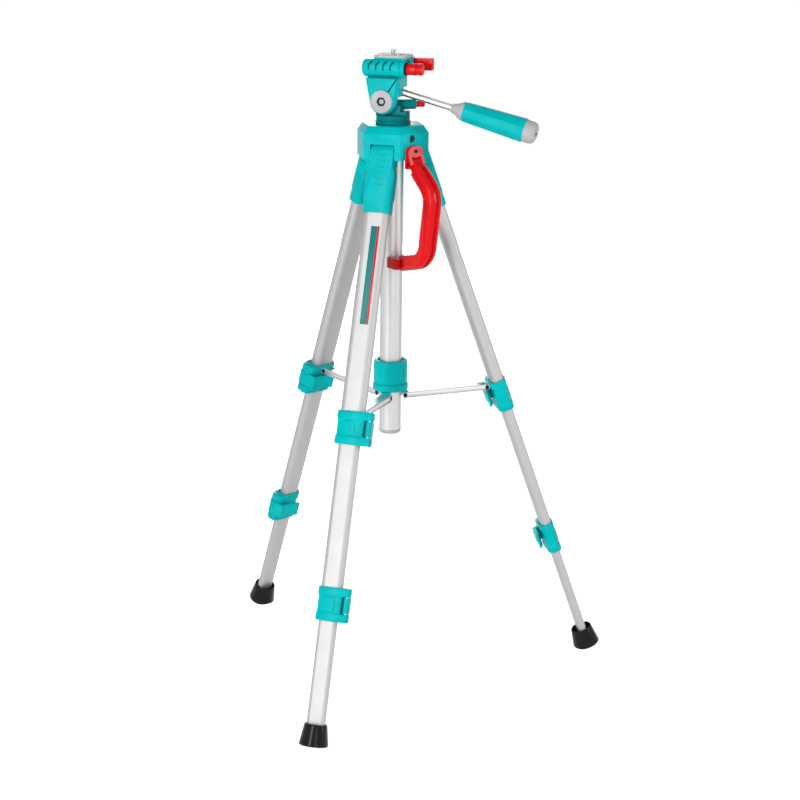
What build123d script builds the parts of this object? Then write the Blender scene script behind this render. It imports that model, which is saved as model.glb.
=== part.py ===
from build123d import *

import os
from math import atan2, cos, degrees, hypot, radians, sin

os.makedirs("parts", exist_ok=True)

# Fits, all radial
SEAT = 0.02          # fixed parts in their seats
RUN = 0.06           # pins and shafts that turn
SLIDE = 0.3          # tubes and collars that slide

# Stance: the column stands on the Z axis and the feet rest on Z = 0
CROWN_BOTTOM = 583.0
LEG_LEAN = 19.87     # degrees off upright
LEGS = {"front": -90.0, "right": 30.0, "left": 150.0}

# Leg tubes, flat ovals that nest; places are measured up the leg from the floor
TUBE_WALL = 1.0
UPPER_WIDTH = 27.0
UPPER_DEPTH = 14.7
MIDDLE_WIDTH = 23.4
MIDDLE_DEPTH = 11.8
LOWER_WIDTH = 20.2
LOWER_DEPTH = 9.2
MIDDLE_LENGTH = 300.0
LOWER_LENGTH = 300.0
LOWER_START = 8.0

# Rubber feet
FOOT_START = 3.0
FOOT_HEIGHT = 23.0
FOOT_RADIUS = 15.8
FOOT_TOP_RADIUS = 12.0

# Lock collars at the lower ends of the upper and middle tubes
LOCK_HEIGHT = 35.4
LOCK_WALL = 2.6
LOCK_STEP = 7.6      # the held tube stops this far above the bottom of the collar
LOCK_CORNER = 6.5
LOCK_EASE = 0.8
LOCK_BAND = 8.8      # height of the two hinge bands
LOCK_WAIST = 1.0     # sunk between the bands
UPPER_LOCK_BASE = 317.0
LOWER_LOCK_BASE = 132.8
PANEL_WIDTH = 13.0   # flush with the bands

# Flip levers, hinged on the right of the collars and wrapped round the inner side
KNUCKLE_RADIUS = 3.0
KNUCKLE_GAP = 1.2
KNUCKLE_BACK = 5.4   # behind the outer side of the collar
LEVER_GAP = 0.6      # to the hinge bands
LEVER_STANDOFF = 2.6
LEVER_THICK = 3.4
LEVER_FLARE = 2.0
LEVER_SHORT = 5.0    # the tip stops this far inside the edge of the tube
LEVER_PIN_RADIUS = 1.3

# Lugs on the upper collars where the spreader arms end
LUG_RISE = 31.8      # above the bottom of the collar
LUG_INWARD = 13.2
LUG_WIDTH = 8.0
LUG_RADIUS = 3.0
LUG_TONGUE = 6.0
ARM_PIN_RADIUS = 1.5

# Leg sockets and their hinges in the crown
HINGE_OUT = 27.23    # from the column axis
HINGE_RISE = 5.73    # above the bottom of the crown
HINGE_PIN_RADIUS = 2.5
HINGE_PIN_LENGTH = 38.0
SOCKET_DROP = 64.0   # places on the socket are measured down from its hinge
SHOULDER_DROP = 15.0
SOCKET_SEAT = 36.0
SOCKET_WIDTH = 31.6
SOCKET_DEPTH = 19.6
SOCKET_CORNER = 6.0
TOP_KNUCKLE_RADIUS = 9.5
TOP_KNUCKLE_WIDTH = 25.4
TOP_KNUCKLE_LENGTH = 25.0

# Crown, hexagonal
CROWN_RADIUS = 40.1
CROWN_WALL_HEIGHT = 27.0
CROWN_BEVEL_HEIGHT = 7.4
CROWN_BEVEL = 34.0   # degrees
NOTCH_CLEAR = 0.7

# Column: a fixed tube with the spreader collar on it, and the sliding column inside
SLEEVE_RADIUS = 12.0
SLEEVE_WALL = 1.0
SLEEVE_LENGTH = 331.0
SLEEVE_HELD = 28.0   # length inside the crown
COLUMN_RADIUS = 10.7
COLUMN_WALL = 1.4
COLUMN_LENGTH = 334.0
END_CAP_FLANGE = 4.5
END_CAP_PLUG = 9.0
RING_RADIUS = 18.7
RING_BORE = 12.6
RING_HEIGHT = 3.8
RING_GAP = 0.2

# Spreader
COLLAR_UP = 45.0      # above the lower end of the fixed tube
COLLAR_FOOT_HEIGHT = 9.0
COLLAR_HEIGHT = 33.8
COLLAR_RADIUS = 18.6
COLLAR_FOOT_RADIUS = 19.4
ARM_PIN_CIRCLE = 15.8
ARM_PIN_DROP = 6.5    # below the collar
ARM_WIDTH = 12.6
ARM_DEPTH = 6.0
ARM_SHEET = 1.2
ARM_SHORT = 24.0     # clearance at the open pivot on the leg
ARM_WEB_SHORT = 10.0  # the web stops this far inside the flanges
COLLAR_LUG_WIDTH = 9.4
COLLAR_LUG_RADIUS = 2.4

# Carry handle in a plane through the column axis
HANDLE_ANGLE = -34.0
HANDLE_HINGE_OUT = 39.0
HANDLE_HINGE_DROP = 4.0  # below the crown
HANDLE_PIN_RADIUS = 2.0
HANDLE_EYE_RADIUS = 5.6
HANDLE_EYE_WIDTH = 11.6
HANDLE_SECTION = 17.0
HANDLE_CORNER = 5.0
HANDLE_TONGUE = 8.5
HANDLE_BEND = 23.0
GRIP_OUT = 70.3      # at its top
GRIP_LEAN = 10.3     # its foot is nearer to the column
GRIP_DROP = 28.4     # below the hinge
GRIP_HEIGHT = 72.0
FORK_INNER = 8.0
FORK_OUTER = 27.0
FORK_WIDTH = 28.0
FORK_DROP = 14.1     # below the grip
FORK_HEIGHT = 11.5
BRACKET_BASE = 34.0
BRACKET_FRONT = 40.0
BRACKET_WIDTH = 19.6
BRACKET_DROP = 5.0   # below the hinge
BRACKET_HEIGHT = 24.0
BRACKET_ARCH = 7.0
BRACKET_NOSE = 5.0   # in front of the hinge
BRACKET_SCREW_RISE = 13.5  # above the hinge
BRACKET_SCREW_RADIUS = 1.1
BRACKET_SCREW_HEAD = 1.9
BRACKET_SCREW_DEPTH = 10.0  # into the crown
CLAMP_SCREW_ANGLE = -37.0
CLAMP_SCREW_RISE = 22.0  # above the bottom of the crown
CLAMP_SCREW_RADIUS = 2.5
CLAMP_SCREW_LENGTH = 20.0

# Pan base
NECK_RADIUS = 18.0
NECK_HEIGHT = 5.6
NECK_BACK_HEIGHT = 9.2  # behind the near cheek of the tilt body
COLUMN_SEAT = 3.4
AXLE_X = -7.0
AXLE_RISE = 20.4     # above the bottom of the neck
AXLE_RADIUS = 4.0
PAN_LUG_THICK = 14.0
PAN_LUG_RADIUS = 10.0
PAN_BOSS_ANGLE = 35.0
PAN_BOSS_DROP = 4.6  # below the tilt axle
PAN_BOSS_RADIUS = 5.2
PAN_BOSS_REACH = 24.5
PAN_SCREW_RADIUS = 2.2
PAN_SCREW_LENGTH = 9.0
PAN_KNOB_RADIUS = 3.2
PAN_KNOB_LENGTH = 9.6

# Tilt body
CHEEK_RADIUS = 14.2
FAR_CHEEK_RADIUS = 8.8
CHEEK_GAP = 0.4
CHEEK_OUTER = 17.0
TILT_FRONT = -26.0
TILT_REAR = 10.6
TILT_RISE = 24.0     # heights on the tilt body are measured above its axle
BRIDGE_RISE = 13.5
BRIDGE_SHORT = 9.0
REAR_BLOCK_RISE = 4.5
REAR_BLOCK_FAR = 5.0
REAR_BLOCK_CLEAR = 0.2
CHEEK_EASE = 2.4
BARREL_RADIUS = 9.5
BARREL_Y = -8.0
BARREL_RISE = 10.0   # above the top of the tilt body
BARREL_FRONT = -30.4
BARREL_END_EASE = 3.6
BARREL_REAR = 11.6
BARREL_SADDLE_FAR = -1.0
BARREL_SADDLE = 10.0
SADDLE_LENGTH = 36.0
SADDLE_HEIGHT = 16.5
BARREL_GROOVES = 4
GROOVE_FIRST = -22.6
GROOVE_PITCH = 8.0
GROOVE_WIDTH = 1.4
GROOVE_HEIGHT = 11.0
PORTRAIT_AXLE_RADIUS = 3.0
PORTRAIT_AXLE_DEPTH = 34.0  # into the barrel
AXLE_CAP_RADIUS = 12.0
AXLE_CAP_THICK = 3.0
AXLE_SOCKET_RADIUS = 5.2
SLIT_WIDTH = 0.9
SLIT_HIGH_X = 8.0
SLIT_HIGH_RISE = 19.5
SLIT_LOW_X = 0.7
SLIT_LOW_RISE = 11.5

# Platform
KNUCKLE_THICK = 4.4
KNUCKLE_CLEAR = 0.3
TRAY_LENGTH = 38.0
TRAY_FRONT = -11.0
TRAY_BACK = 16.0
TRAY_HEIGHT = 11.4
TRAY_BARREL_GAP = 0.4
PLATE_LENGTH = 37.0
PLATE_WIDTH = 30.0
PLATE_THICK = 2.8
PLATE_CORNER = 6.0
PLATE_KEY_LENGTH = 18.0
PLATE_KEY_WIDTH = 7.0
PLATE_KEY_DEPTH = 1.9
PLATE_KEY_Y = 9.6
KEY_CLEAR = 0.3
CAMERA_SCREW_RADIUS = 3.175
CAMERA_SCREW_NECK = 2.4
CAMERA_SCREW_LENGTH = 5.7  # above the plate
CAMERA_SCREW_HEAD = 4.8
SCREW_HEAD_THICK = 1.4
SCREW_HEAD_SINK = 0.1
RELEASE_X = 16.5
RELEASE_Y = 13.0
RELEASE_PIN_RADIUS = 1.8
RELEASE_DROP = 1.1     # below the top of the tray
RELEASE_THICK = 6.0
RELEASE_WIDTH = 6.0
RELEASE_SWEEP = 4.0    # room round the pivot
RELEASE_END = 40.0
RELEASE_TAB = 10.0
RELEASE_TAB_DEPTH = 12.8
PORTRAIT_KNOB_START = 18.6
PORTRAIT_KNOB_LENGTH = 17.0
PORTRAIT_KNOB_RADIUS = 6.3

# Pan handle, along a sloping axis in the plane Y = 0; lengths from the root
ROD_X = 9.8
ROD_RISE = 9.0       # above the tilt axle
ROD_SLOPE = 14.0     # degrees below level
ROD_RADIUS = 3.6
ROD_BURIED = 9.0
ROD_LENGTH = 104.0
FERRULE_START = 57.0
GRIP_START = 71.0
GRIP_END = 139.5
HANDLE_END = 152.0
GRIP_SMALL = 11.0
GRIP_RADIUS = 13.4
FERRULE_SMALL = 5.0
FERRULE_LARGE = 10.2
FERRULE_NECK = 4.0
FERRULE_RIM = 2.0
GRIP_EDGE = 2.6
END_CAP_RADIUS = 12.0

# Places that several pieces share
UPPER_START = UPPER_LOCK_BASE + LOCK_STEP
MIDDLE_START = LOWER_LOCK_BASE + LOCK_STEP
HINGE_HEIGHT = CROWN_BOTTOM + HINGE_RISE
HINGE_UP = HINGE_HEIGHT / cos(radians(LEG_LEAN))
FOOT_CIRCLE = HINGE_OUT + HINGE_UP * sin(radians(LEG_LEAN))
SOCKET_BOTTOM = HINGE_UP - SOCKET_DROP
UPPER_TOP = SOCKET_BOTTOM + SOCKET_SEAT
CROWN_SHOULDER = CROWN_BOTTOM + CROWN_WALL_HEIGHT
CROWN_TOP = CROWN_SHOULDER + CROWN_BEVEL_HEIGHT
SLEEVE_TOP = CROWN_BOTTOM + SLEEVE_HELD
SLEEVE_BOTTOM = SLEEVE_TOP - SLEEVE_LENGTH
RING_BOTTOM = CROWN_TOP + RING_GAP
NECK_BOTTOM = RING_BOTTOM + RING_HEIGHT + RING_GAP
NECK_TOP = NECK_BOTTOM + NECK_HEIGHT
COLUMN_TOP = NECK_BOTTOM + COLUMN_SEAT - RING_GAP / 2
COLLAR_BOTTOM = SLEEVE_BOTTOM + COLLAR_UP
COLLAR_SEAM = COLLAR_BOTTOM + COLLAR_FOOT_HEIGHT
ARM_PIN_HEIGHT = COLLAR_BOTTOM - ARM_PIN_DROP
LUG_UP = UPPER_LOCK_BASE + LUG_RISE
LUG_OUT = FOOT_CIRCLE - LUG_UP * sin(radians(LEG_LEAN)) - LUG_INWARD * cos(radians(LEG_LEAN))
LUG_HEIGHT = LUG_UP * cos(radians(LEG_LEAN)) - LUG_INWARD * sin(radians(LEG_LEAN))
ARM_REACH = hypot(LUG_OUT - ARM_PIN_CIRCLE, LUG_HEIGHT - ARM_PIN_HEIGHT)
ARM_RISE = degrees(atan2(LUG_HEIGHT - ARM_PIN_HEIGHT, LUG_OUT - ARM_PIN_CIRCLE))
HANDLE_HINGE_HEIGHT = CROWN_BOTTOM - HANDLE_HINGE_DROP
GRIP_TOP = HANDLE_HINGE_HEIGHT - GRIP_DROP
GRIP_BOTTOM = GRIP_TOP - GRIP_HEIGHT
FORK_BOTTOM = GRIP_BOTTOM - FORK_DROP
BRACKET_BOTTOM = HANDLE_HINGE_HEIGHT - BRACKET_DROP
BRACKET_SCREW_HEIGHT = HANDLE_HINGE_HEIGHT + BRACKET_SCREW_RISE
CLAMP_SCREW_HEIGHT = CROWN_BOTTOM + CLAMP_SCREW_RISE
AXLE_HEIGHT = NECK_BOTTOM + AXLE_RISE
PAN_BOSS_HEIGHT = AXLE_HEIGHT - PAN_BOSS_DROP
TILT_TOP = AXLE_HEIGHT + TILT_RISE
BRIDGE_BOTTOM = AXLE_HEIGHT + BRIDGE_RISE
REAR_BLOCK_BOTTOM = AXLE_HEIGHT + REAR_BLOCK_RISE
REAR_BLOCK_INNER = AXLE_X + PAN_LUG_RADIUS + REAR_BLOCK_CLEAR
SLIT_HIGH = AXLE_HEIGHT + SLIT_HIGH_RISE
SLIT_LOW = AXLE_HEIGHT + SLIT_LOW_RISE
BARREL_HEIGHT = TILT_TOP + BARREL_RISE
TRAY_TOP = BARREL_HEIGHT + TRAY_HEIGHT
PLATE_TOP = TRAY_TOP + PLATE_THICK
RELEASE_TOP = TRAY_TOP - RELEASE_DROP
RELEASE_BOTTOM = RELEASE_TOP - RELEASE_THICK
ROD_ROOT = (ROD_X, 0, AXLE_HEIGHT + ROD_RISE)


def outward(angle, reach):
    """Point at a radius from the column axis, level with the floor."""
    return Vector(reach * cos(radians(angle)), reach * sin(radians(angle)), 0)


def leg_plane(angle):
    """Plane at the foot of a leg: X across the leg, Y towards the column, Z up the leg."""
    lean = radians(LEG_LEAN)
    up = Vector(0, 0, cos(lean)) - outward(angle, sin(lean))
    return Plane(origin=outward(angle, FOOT_CIRCLE), x_dir=outward(angle + 90, 1), z_dir=up)


def side_plane(plane):
    """Middle plane of a leg: X towards the column, Y up the leg."""
    return Plane(origin=plane.origin, x_dir=plane.y_dir, z_dir=plane.x_dir)


def radial_plane(angle):
    """Upright plane through the column axis: X outward, Y up."""
    return Plane(origin=(0, 0, 0), x_dir=outward(angle, 1), z_dir=outward(angle - 90, 1))


def facing_plane(angle, reach, height):
    """Upright plane square to a radius: X sideways, Y up, Z outward."""
    origin = outward(angle, reach) + Vector(0, 0, height)
    return Plane(origin=origin, x_dir=outward(angle + 90, 1), z_dir=outward(angle, 1))


def bracket_face():
    """Arched front of the handle bracket, standing on its lower edge."""
    Rectangle(BRACKET_WIDTH, BRACKET_HEIGHT, align=(Align.CENTER, Align.MIN))
    fillet(vertices().group_by(Axis.Y)[-1], BRACKET_ARCH)


def save(piece, name):
    """Label one piece and write it."""
    piece.part.label = name
    export_step(piece.part, f"parts/{name}.step")


def flat_tube(plane, start, length, width, depth):
    """Flat-oval leg tube."""
    with BuildPart() as tube:
        with BuildSketch(plane.offset(start)):
            SlotOverall(width, depth)
            SlotOverall(width - 2 * TUBE_WALL, depth - 2 * TUBE_WALL, mode=Mode.SUBTRACT)
        extrude(amount=length)
    return tube


def lever_hinge(width, depth):
    """Place of the lever hinge on a collar that holds a tube of this size."""
    across = width / 2 + LOCK_WALL + KNUCKLE_GAP + KNUCKLE_RADIUS
    return across, KNUCKLE_BACK - depth / 2 - LOCK_WALL


def lock_collar(plane, base, width, depth, way_width, way_depth, lug=False):
    """Collar round the end of one tube, with a way through it for the next."""
    along = Axis(plane.origin, plane.z_dir)
    hinge_x, hinge_y = lever_hinge(width, depth)
    block_depth = depth + 2 * LOCK_WALL
    left = width / 2 + LOCK_WALL
    right = hinge_x + KNUCKLE_RADIUS
    with BuildPart() as collar:
        with BuildSketch(plane.offset(base)):
            RectangleRounded(2 * (left - LOCK_WAIST), block_depth - 2 * LOCK_WAIST, LOCK_CORNER - LOCK_WAIST)
        extrude(amount=LOCK_HEIGHT)
        with BuildSketch(plane.offset(base), plane.offset(base + LOCK_HEIGHT - LOCK_BAND)):
            with Locations(((right - left) / 2, 0)):
                RectangleRounded(left + right, block_depth, LOCK_CORNER)
        extrude(amount=LOCK_BAND)
        chamfer(collar.faces().sort_by(along)[-1].edges(), LOCK_EASE)
        chamfer(collar.faces().sort_by(along)[0].edges(), LOCK_EASE)
        front = Plane(
            origin=plane.from_local_coords(Vector(0, -block_depth / 2, base + LOCK_HEIGHT / 2)),
            x_dir=plane.x_dir,
            z_dir=-plane.y_dir,
        )
        with BuildSketch(front):
            RectangleRounded(PANEL_WIDTH, LOCK_HEIGHT - 2 * LOCK_BAND - 2 * LOCK_WAIST, 2)
        extrude(amount=-LOCK_WAIST - 0.4)
        if lug:
            lug_root = depth / 2 + LOCK_WALL / 2
            with BuildSketch(side_plane(plane)):
                with Locations((LUG_INWARD, LUG_UP)):
                    Circle(LUG_RADIUS)
                    Rectangle(
                        LUG_TONGUE, LUG_RADIUS, rotation=LEG_LEAN + ARM_RISE, align=(Align.MIN, Align.CENTER)
                    )
                with Locations((lug_root, LUG_UP)):
                    Rectangle(LUG_INWARD - lug_root, 2 * LUG_RADIUS, align=(Align.MIN, Align.CENTER))
            extrude(amount=LUG_WIDTH / 2, both=True)
            with BuildSketch(side_plane(plane)):
                with Locations((LUG_INWARD, LUG_UP)):
                    Circle(ARM_PIN_RADIUS + SEAT)
            extrude(amount=LUG_WIDTH, both=True, mode=Mode.SUBTRACT)
        with BuildSketch(plane.offset(base + LOCK_STEP)):
            SlotOverall(width + 2 * SEAT, depth + 2 * SEAT)
        extrude(amount=LOCK_HEIGHT, mode=Mode.SUBTRACT)
        with BuildSketch(plane.offset(base)):
            SlotOverall(way_width + 2 * SLIDE, way_depth + 2 * SLIDE)
            with Locations((hinge_x, hinge_y)):
                Circle(LEVER_PIN_RADIUS + SEAT)
        extrude(amount=LOCK_HEIGHT, mode=Mode.SUBTRACT)
    return collar


def lock_lever(plane, base, width, depth):
    """Flip lever, closed against the inner side of its collar."""
    hinge_x, hinge_y = lever_hinge(width, depth)
    start = base + LOCK_BAND + LEVER_GAP
    near = depth / 2 + LOCK_WALL + LEVER_STANDOFF
    far = near + LEVER_THICK
    tip = LEVER_SHORT - width / 2
    outline = [
        (hinge_x + KNUCKLE_RADIUS, hinge_y),
        (hinge_x + KNUCKLE_RADIUS, far - 4),
        (hinge_x + KNUCKLE_RADIUS - 1.2, far - 1.2),
        (hinge_x + KNUCKLE_RADIUS - 4, far),
        (tip + 7, far),
        (tip, far + LEVER_FLARE),
        (tip - 1.5, far + LEVER_FLARE - 2),
        (tip + 6, near),
        (hinge_x - KNUCKLE_RADIUS - 1, near),
        (hinge_x - KNUCKLE_RADIUS, near - 1),
        (hinge_x - KNUCKLE_RADIUS, hinge_y),
    ]
    with BuildPart() as lever:
        with BuildSketch(plane.offset(start)):
            with BuildLine():
                Polyline(*outline, close=True)
            make_face()
            with Locations((hinge_x, hinge_y)):
                Circle(KNUCKLE_RADIUS)
                Circle(LEVER_PIN_RADIUS + RUN, mode=Mode.SUBTRACT)
        extrude(amount=LOCK_HEIGHT - 2 * LOCK_BAND - 2 * LEVER_GAP)
    return lever


# Legs
for leg, angle in LEGS.items():
    plane = leg_plane(angle)
    side = side_plane(plane)
    along = Axis(plane.origin, plane.z_dir)

    with BuildPart(plane) as foot:
        with Locations((0, 0, FOOT_START)):
            Cone(FOOT_RADIUS, FOOT_TOP_RADIUS, FOOT_HEIGHT, align=(Align.CENTER, Align.CENTER, Align.MIN))
        fillet(foot.edges().sort_by(along)[0], 1.5)
        chamfer(foot.faces().sort_by(along)[-1].edges(), 0.6)
        with BuildSketch(plane.offset(LOWER_START)):
            SlotOverall(LOWER_WIDTH + 2 * SEAT, LOWER_DEPTH + 2 * SEAT)
        extrude(amount=FOOT_HEIGHT, mode=Mode.SUBTRACT)
        split(bisect_by=Plane.XY, keep=Keep.TOP)
    save(foot, f"foot_{leg}")

    lower_tube = flat_tube(plane, LOWER_START, LOWER_LENGTH, LOWER_WIDTH, LOWER_DEPTH)
    save(lower_tube, f"lower_tube_{leg}")

    lower_lock = lock_collar(plane, LOWER_LOCK_BASE, MIDDLE_WIDTH, MIDDLE_DEPTH, LOWER_WIDTH, LOWER_DEPTH)
    save(lower_lock, f"lower_lock_{leg}")

    lower_lever = lock_lever(plane, LOWER_LOCK_BASE, MIDDLE_WIDTH, MIDDLE_DEPTH)
    save(lower_lever, f"lower_lever_{leg}")

    with BuildPart() as lower_lever_pin:
        with BuildSketch(plane.offset(LOWER_LOCK_BASE)):
            with Locations(lever_hinge(MIDDLE_WIDTH, MIDDLE_DEPTH)):
                Circle(LEVER_PIN_RADIUS)
        extrude(amount=LOCK_HEIGHT)
    save(lower_lever_pin, f"lower_lever_pin_{leg}")

    middle_tube = flat_tube(plane, MIDDLE_START, MIDDLE_LENGTH, MIDDLE_WIDTH, MIDDLE_DEPTH)
    save(middle_tube, f"middle_tube_{leg}")

    upper_lock = lock_collar(
        plane, UPPER_LOCK_BASE, UPPER_WIDTH, UPPER_DEPTH, MIDDLE_WIDTH, MIDDLE_DEPTH, lug=True
    )
    save(upper_lock, f"upper_lock_{leg}")

    upper_lever = lock_lever(plane, UPPER_LOCK_BASE, UPPER_WIDTH, UPPER_DEPTH)
    save(upper_lever, f"upper_lever_{leg}")

    with BuildPart() as upper_lock_pins:
        with BuildSketch(plane.offset(UPPER_LOCK_BASE)):
            with Locations(lever_hinge(UPPER_WIDTH, UPPER_DEPTH)):
                Circle(LEVER_PIN_RADIUS)
        extrude(amount=LOCK_HEIGHT)
        with BuildSketch(side):
            with Locations((LUG_INWARD, LUG_UP)):
                Circle(ARM_PIN_RADIUS)
        extrude(amount=LUG_WIDTH / 2 + 0.6, both=True)
    save(upper_lock_pins, f"upper_lock_pins_{leg}")

    upper_tube = flat_tube(plane, UPPER_START, UPPER_TOP - UPPER_START, UPPER_WIDTH, UPPER_DEPTH)
    save(upper_tube, f"upper_tube_{leg}")

    with BuildPart() as leg_socket:
        with BuildSketch(plane.offset(SOCKET_BOTTOM)):
            RectangleRounded(SOCKET_WIDTH, SOCKET_DEPTH, SOCKET_CORNER)
        extrude(amount=SOCKET_DROP - SHOULDER_DROP)
        chamfer(leg_socket.faces().sort_by(along)[-1].edges(), 1.2)
        chamfer(leg_socket.faces().sort_by(along)[0].edges(), 0.8)
        with BuildSketch(side):
            with Locations((0, HINGE_UP)):
                Circle(TOP_KNUCKLE_RADIUS)
                Rectangle(2 * TOP_KNUCKLE_RADIUS, TOP_KNUCKLE_LENGTH, align=(Align.CENTER, Align.MAX))
        extrude(amount=TOP_KNUCKLE_WIDTH / 2, both=True)
        with BuildSketch(plane.offset(SOCKET_BOTTOM)):
            SlotOverall(UPPER_WIDTH + 2 * SEAT, UPPER_DEPTH + 2 * SEAT)
        extrude(amount=SOCKET_SEAT, mode=Mode.SUBTRACT)
        with BuildSketch(side):
            with Locations((0, HINGE_UP)):
                Circle(HINGE_PIN_RADIUS + RUN)
        extrude(amount=SOCKET_WIDTH, both=True, mode=Mode.SUBTRACT)
    save(leg_socket, f"leg_socket_{leg}")

    arm_rise = radians(ARM_RISE)
    arm_plane = Plane(
        origin=outward(angle, ARM_PIN_CIRCLE) + Vector(0, 0, ARM_PIN_HEIGHT),
        x_dir=outward(angle, cos(arm_rise)) + Vector(0, 0, sin(arm_rise)),
        z_dir=outward(angle - 90, 1),
    )
    arm_length = ARM_REACH - ARM_SHORT
    with BuildPart() as spreader_arm:
        with BuildSketch(arm_plane):
            Circle(ARM_DEPTH / 2)
            Rectangle(arm_length, ARM_DEPTH, align=(Align.MIN, Align.CENTER))
        extrude(amount=ARM_WIDTH / 2, both=True)
        with BuildSketch(arm_plane):
            with Locations((0, ARM_DEPTH / 2 - ARM_SHEET)):
                Rectangle(2 * arm_length + ARM_DEPTH, ARM_DEPTH, align=(Align.CENTER, Align.MAX))
            Rectangle(ARM_DEPTH, 2 * ARM_DEPTH)
            with Locations((arm_length, 0)):
                Rectangle(2 * ARM_WEB_SHORT, 2 * ARM_DEPTH)
        extrude(amount=ARM_WIDTH / 2 - ARM_SHEET, both=True, mode=Mode.SUBTRACT)
        with BuildSketch(arm_plane):
            Circle(ARM_PIN_RADIUS + RUN)
        extrude(amount=ARM_WIDTH, both=True, mode=Mode.SUBTRACT)
    save(spreader_arm, f"spreader_arm_{leg}")

# Crown
NOTCH_INNER = HINGE_OUT - TOP_KNUCKLE_RADIUS - NOTCH_CLEAR
NOTCH_TOP = HINGE_HEIGHT + TOP_KNUCKLE_RADIUS + NOTCH_CLEAR
with BuildPart() as crown:
    with BuildSketch(Plane.XY.offset(CROWN_BOTTOM)):
        RegularPolygon(CROWN_RADIUS, 6)
    extrude(amount=CROWN_SHOULDER - CROWN_BOTTOM)
    with BuildSketch(Plane.XY.offset(CROWN_SHOULDER)):
        RegularPolygon(CROWN_RADIUS, 6)
    extrude(amount=CROWN_TOP - CROWN_SHOULDER, taper=CROWN_BEVEL)
    for angle in LEGS.values():
        with BuildSketch(facing_plane(angle, NOTCH_INNER, CROWN_BOTTOM)):
            Rectangle(
                TOP_KNUCKLE_WIDTH + 2 * NOTCH_CLEAR, NOTCH_TOP - CROWN_BOTTOM, align=(Align.CENTER, Align.MIN)
            )
        extrude(amount=CROWN_RADIUS, mode=Mode.SUBTRACT)
        with BuildSketch(radial_plane(angle)):
            with Locations((HINGE_OUT, HINGE_HEIGHT)):
                Circle(HINGE_PIN_RADIUS + SEAT)
        extrude(amount=HINGE_PIN_LENGTH / 2, both=True, mode=Mode.SUBTRACT)
    with BuildSketch(Plane.XY.offset(CROWN_BOTTOM)):
        Circle(SLEEVE_RADIUS + SEAT)
    extrude(amount=SLEEVE_TOP - CROWN_BOTTOM, mode=Mode.SUBTRACT)
    with BuildSketch(Plane.XY.offset(CROWN_BOTTOM)):
        Circle(COLUMN_RADIUS + SLIDE)
    extrude(amount=CROWN_RADIUS, mode=Mode.SUBTRACT)
    with BuildSketch(facing_plane(HANDLE_ANGLE, BRACKET_BASE, BRACKET_BOTTOM)):
        bracket_face()
    extrude(amount=CROWN_RADIUS, mode=Mode.SUBTRACT)
    with BuildSketch(facing_plane(HANDLE_ANGLE, BRACKET_BASE, BRACKET_SCREW_HEIGHT)):
        Circle(BRACKET_SCREW_RADIUS + SEAT)
    extrude(amount=-BRACKET_SCREW_DEPTH, mode=Mode.SUBTRACT)
    with BuildSketch(facing_plane(CLAMP_SCREW_ANGLE, SLEEVE_RADIUS, CLAMP_SCREW_HEIGHT)):
        Circle(CLAMP_SCREW_RADIUS + SEAT)
    extrude(amount=CROWN_RADIUS, mode=Mode.SUBTRACT)
save(crown, "crown")

with BuildPart() as leg_hinge_pins:
    for angle in LEGS.values():
        with BuildSketch(radial_plane(angle)):
            with Locations((HINGE_OUT, HINGE_HEIGHT)):
                Circle(HINGE_PIN_RADIUS)
        extrude(amount=HINGE_PIN_LENGTH / 2, both=True)
save(leg_hinge_pins, "leg_hinge_pins")

# Column
with BuildPart() as column_sleeve:
    with BuildSketch(Plane.XY.offset(SLEEVE_BOTTOM)):
        Circle(SLEEVE_RADIUS)
        Circle(SLEEVE_RADIUS - SLEEVE_WALL, mode=Mode.SUBTRACT)
    extrude(amount=SLEEVE_LENGTH)
save(column_sleeve, "column_sleeve")

with BuildPart() as column_end_cap:
    with BuildSketch(Plane.XY.offset(SLEEVE_BOTTOM)):
        Circle(SLEEVE_RADIUS)
    extrude(amount=-END_CAP_FLANGE)
    fillet(column_end_cap.edges().sort_by(Axis.Z)[0], END_CAP_FLANGE / 2)
    with BuildSketch(Plane.XY.offset(SLEEVE_BOTTOM)):
        Circle(SLEEVE_RADIUS - SLEEVE_WALL - RUN)
    extrude(amount=END_CAP_PLUG)
save(column_end_cap, "column_end_cap")

with BuildPart() as centre_column:
    with BuildSketch(Plane.XY.offset(COLUMN_TOP)):
        Circle(COLUMN_RADIUS)
        Circle(COLUMN_RADIUS - COLUMN_WALL, mode=Mode.SUBTRACT)
    extrude(amount=-COLUMN_LENGTH)
save(centre_column, "centre_column")

with BuildPart() as column_lock_ring:
    with BuildSketch(Plane.XY.offset(RING_BOTTOM)):
        Circle(RING_RADIUS)
        Circle(RING_BORE, mode=Mode.SUBTRACT)
    extrude(amount=RING_HEIGHT)
save(column_lock_ring, "column_lock_ring")

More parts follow.
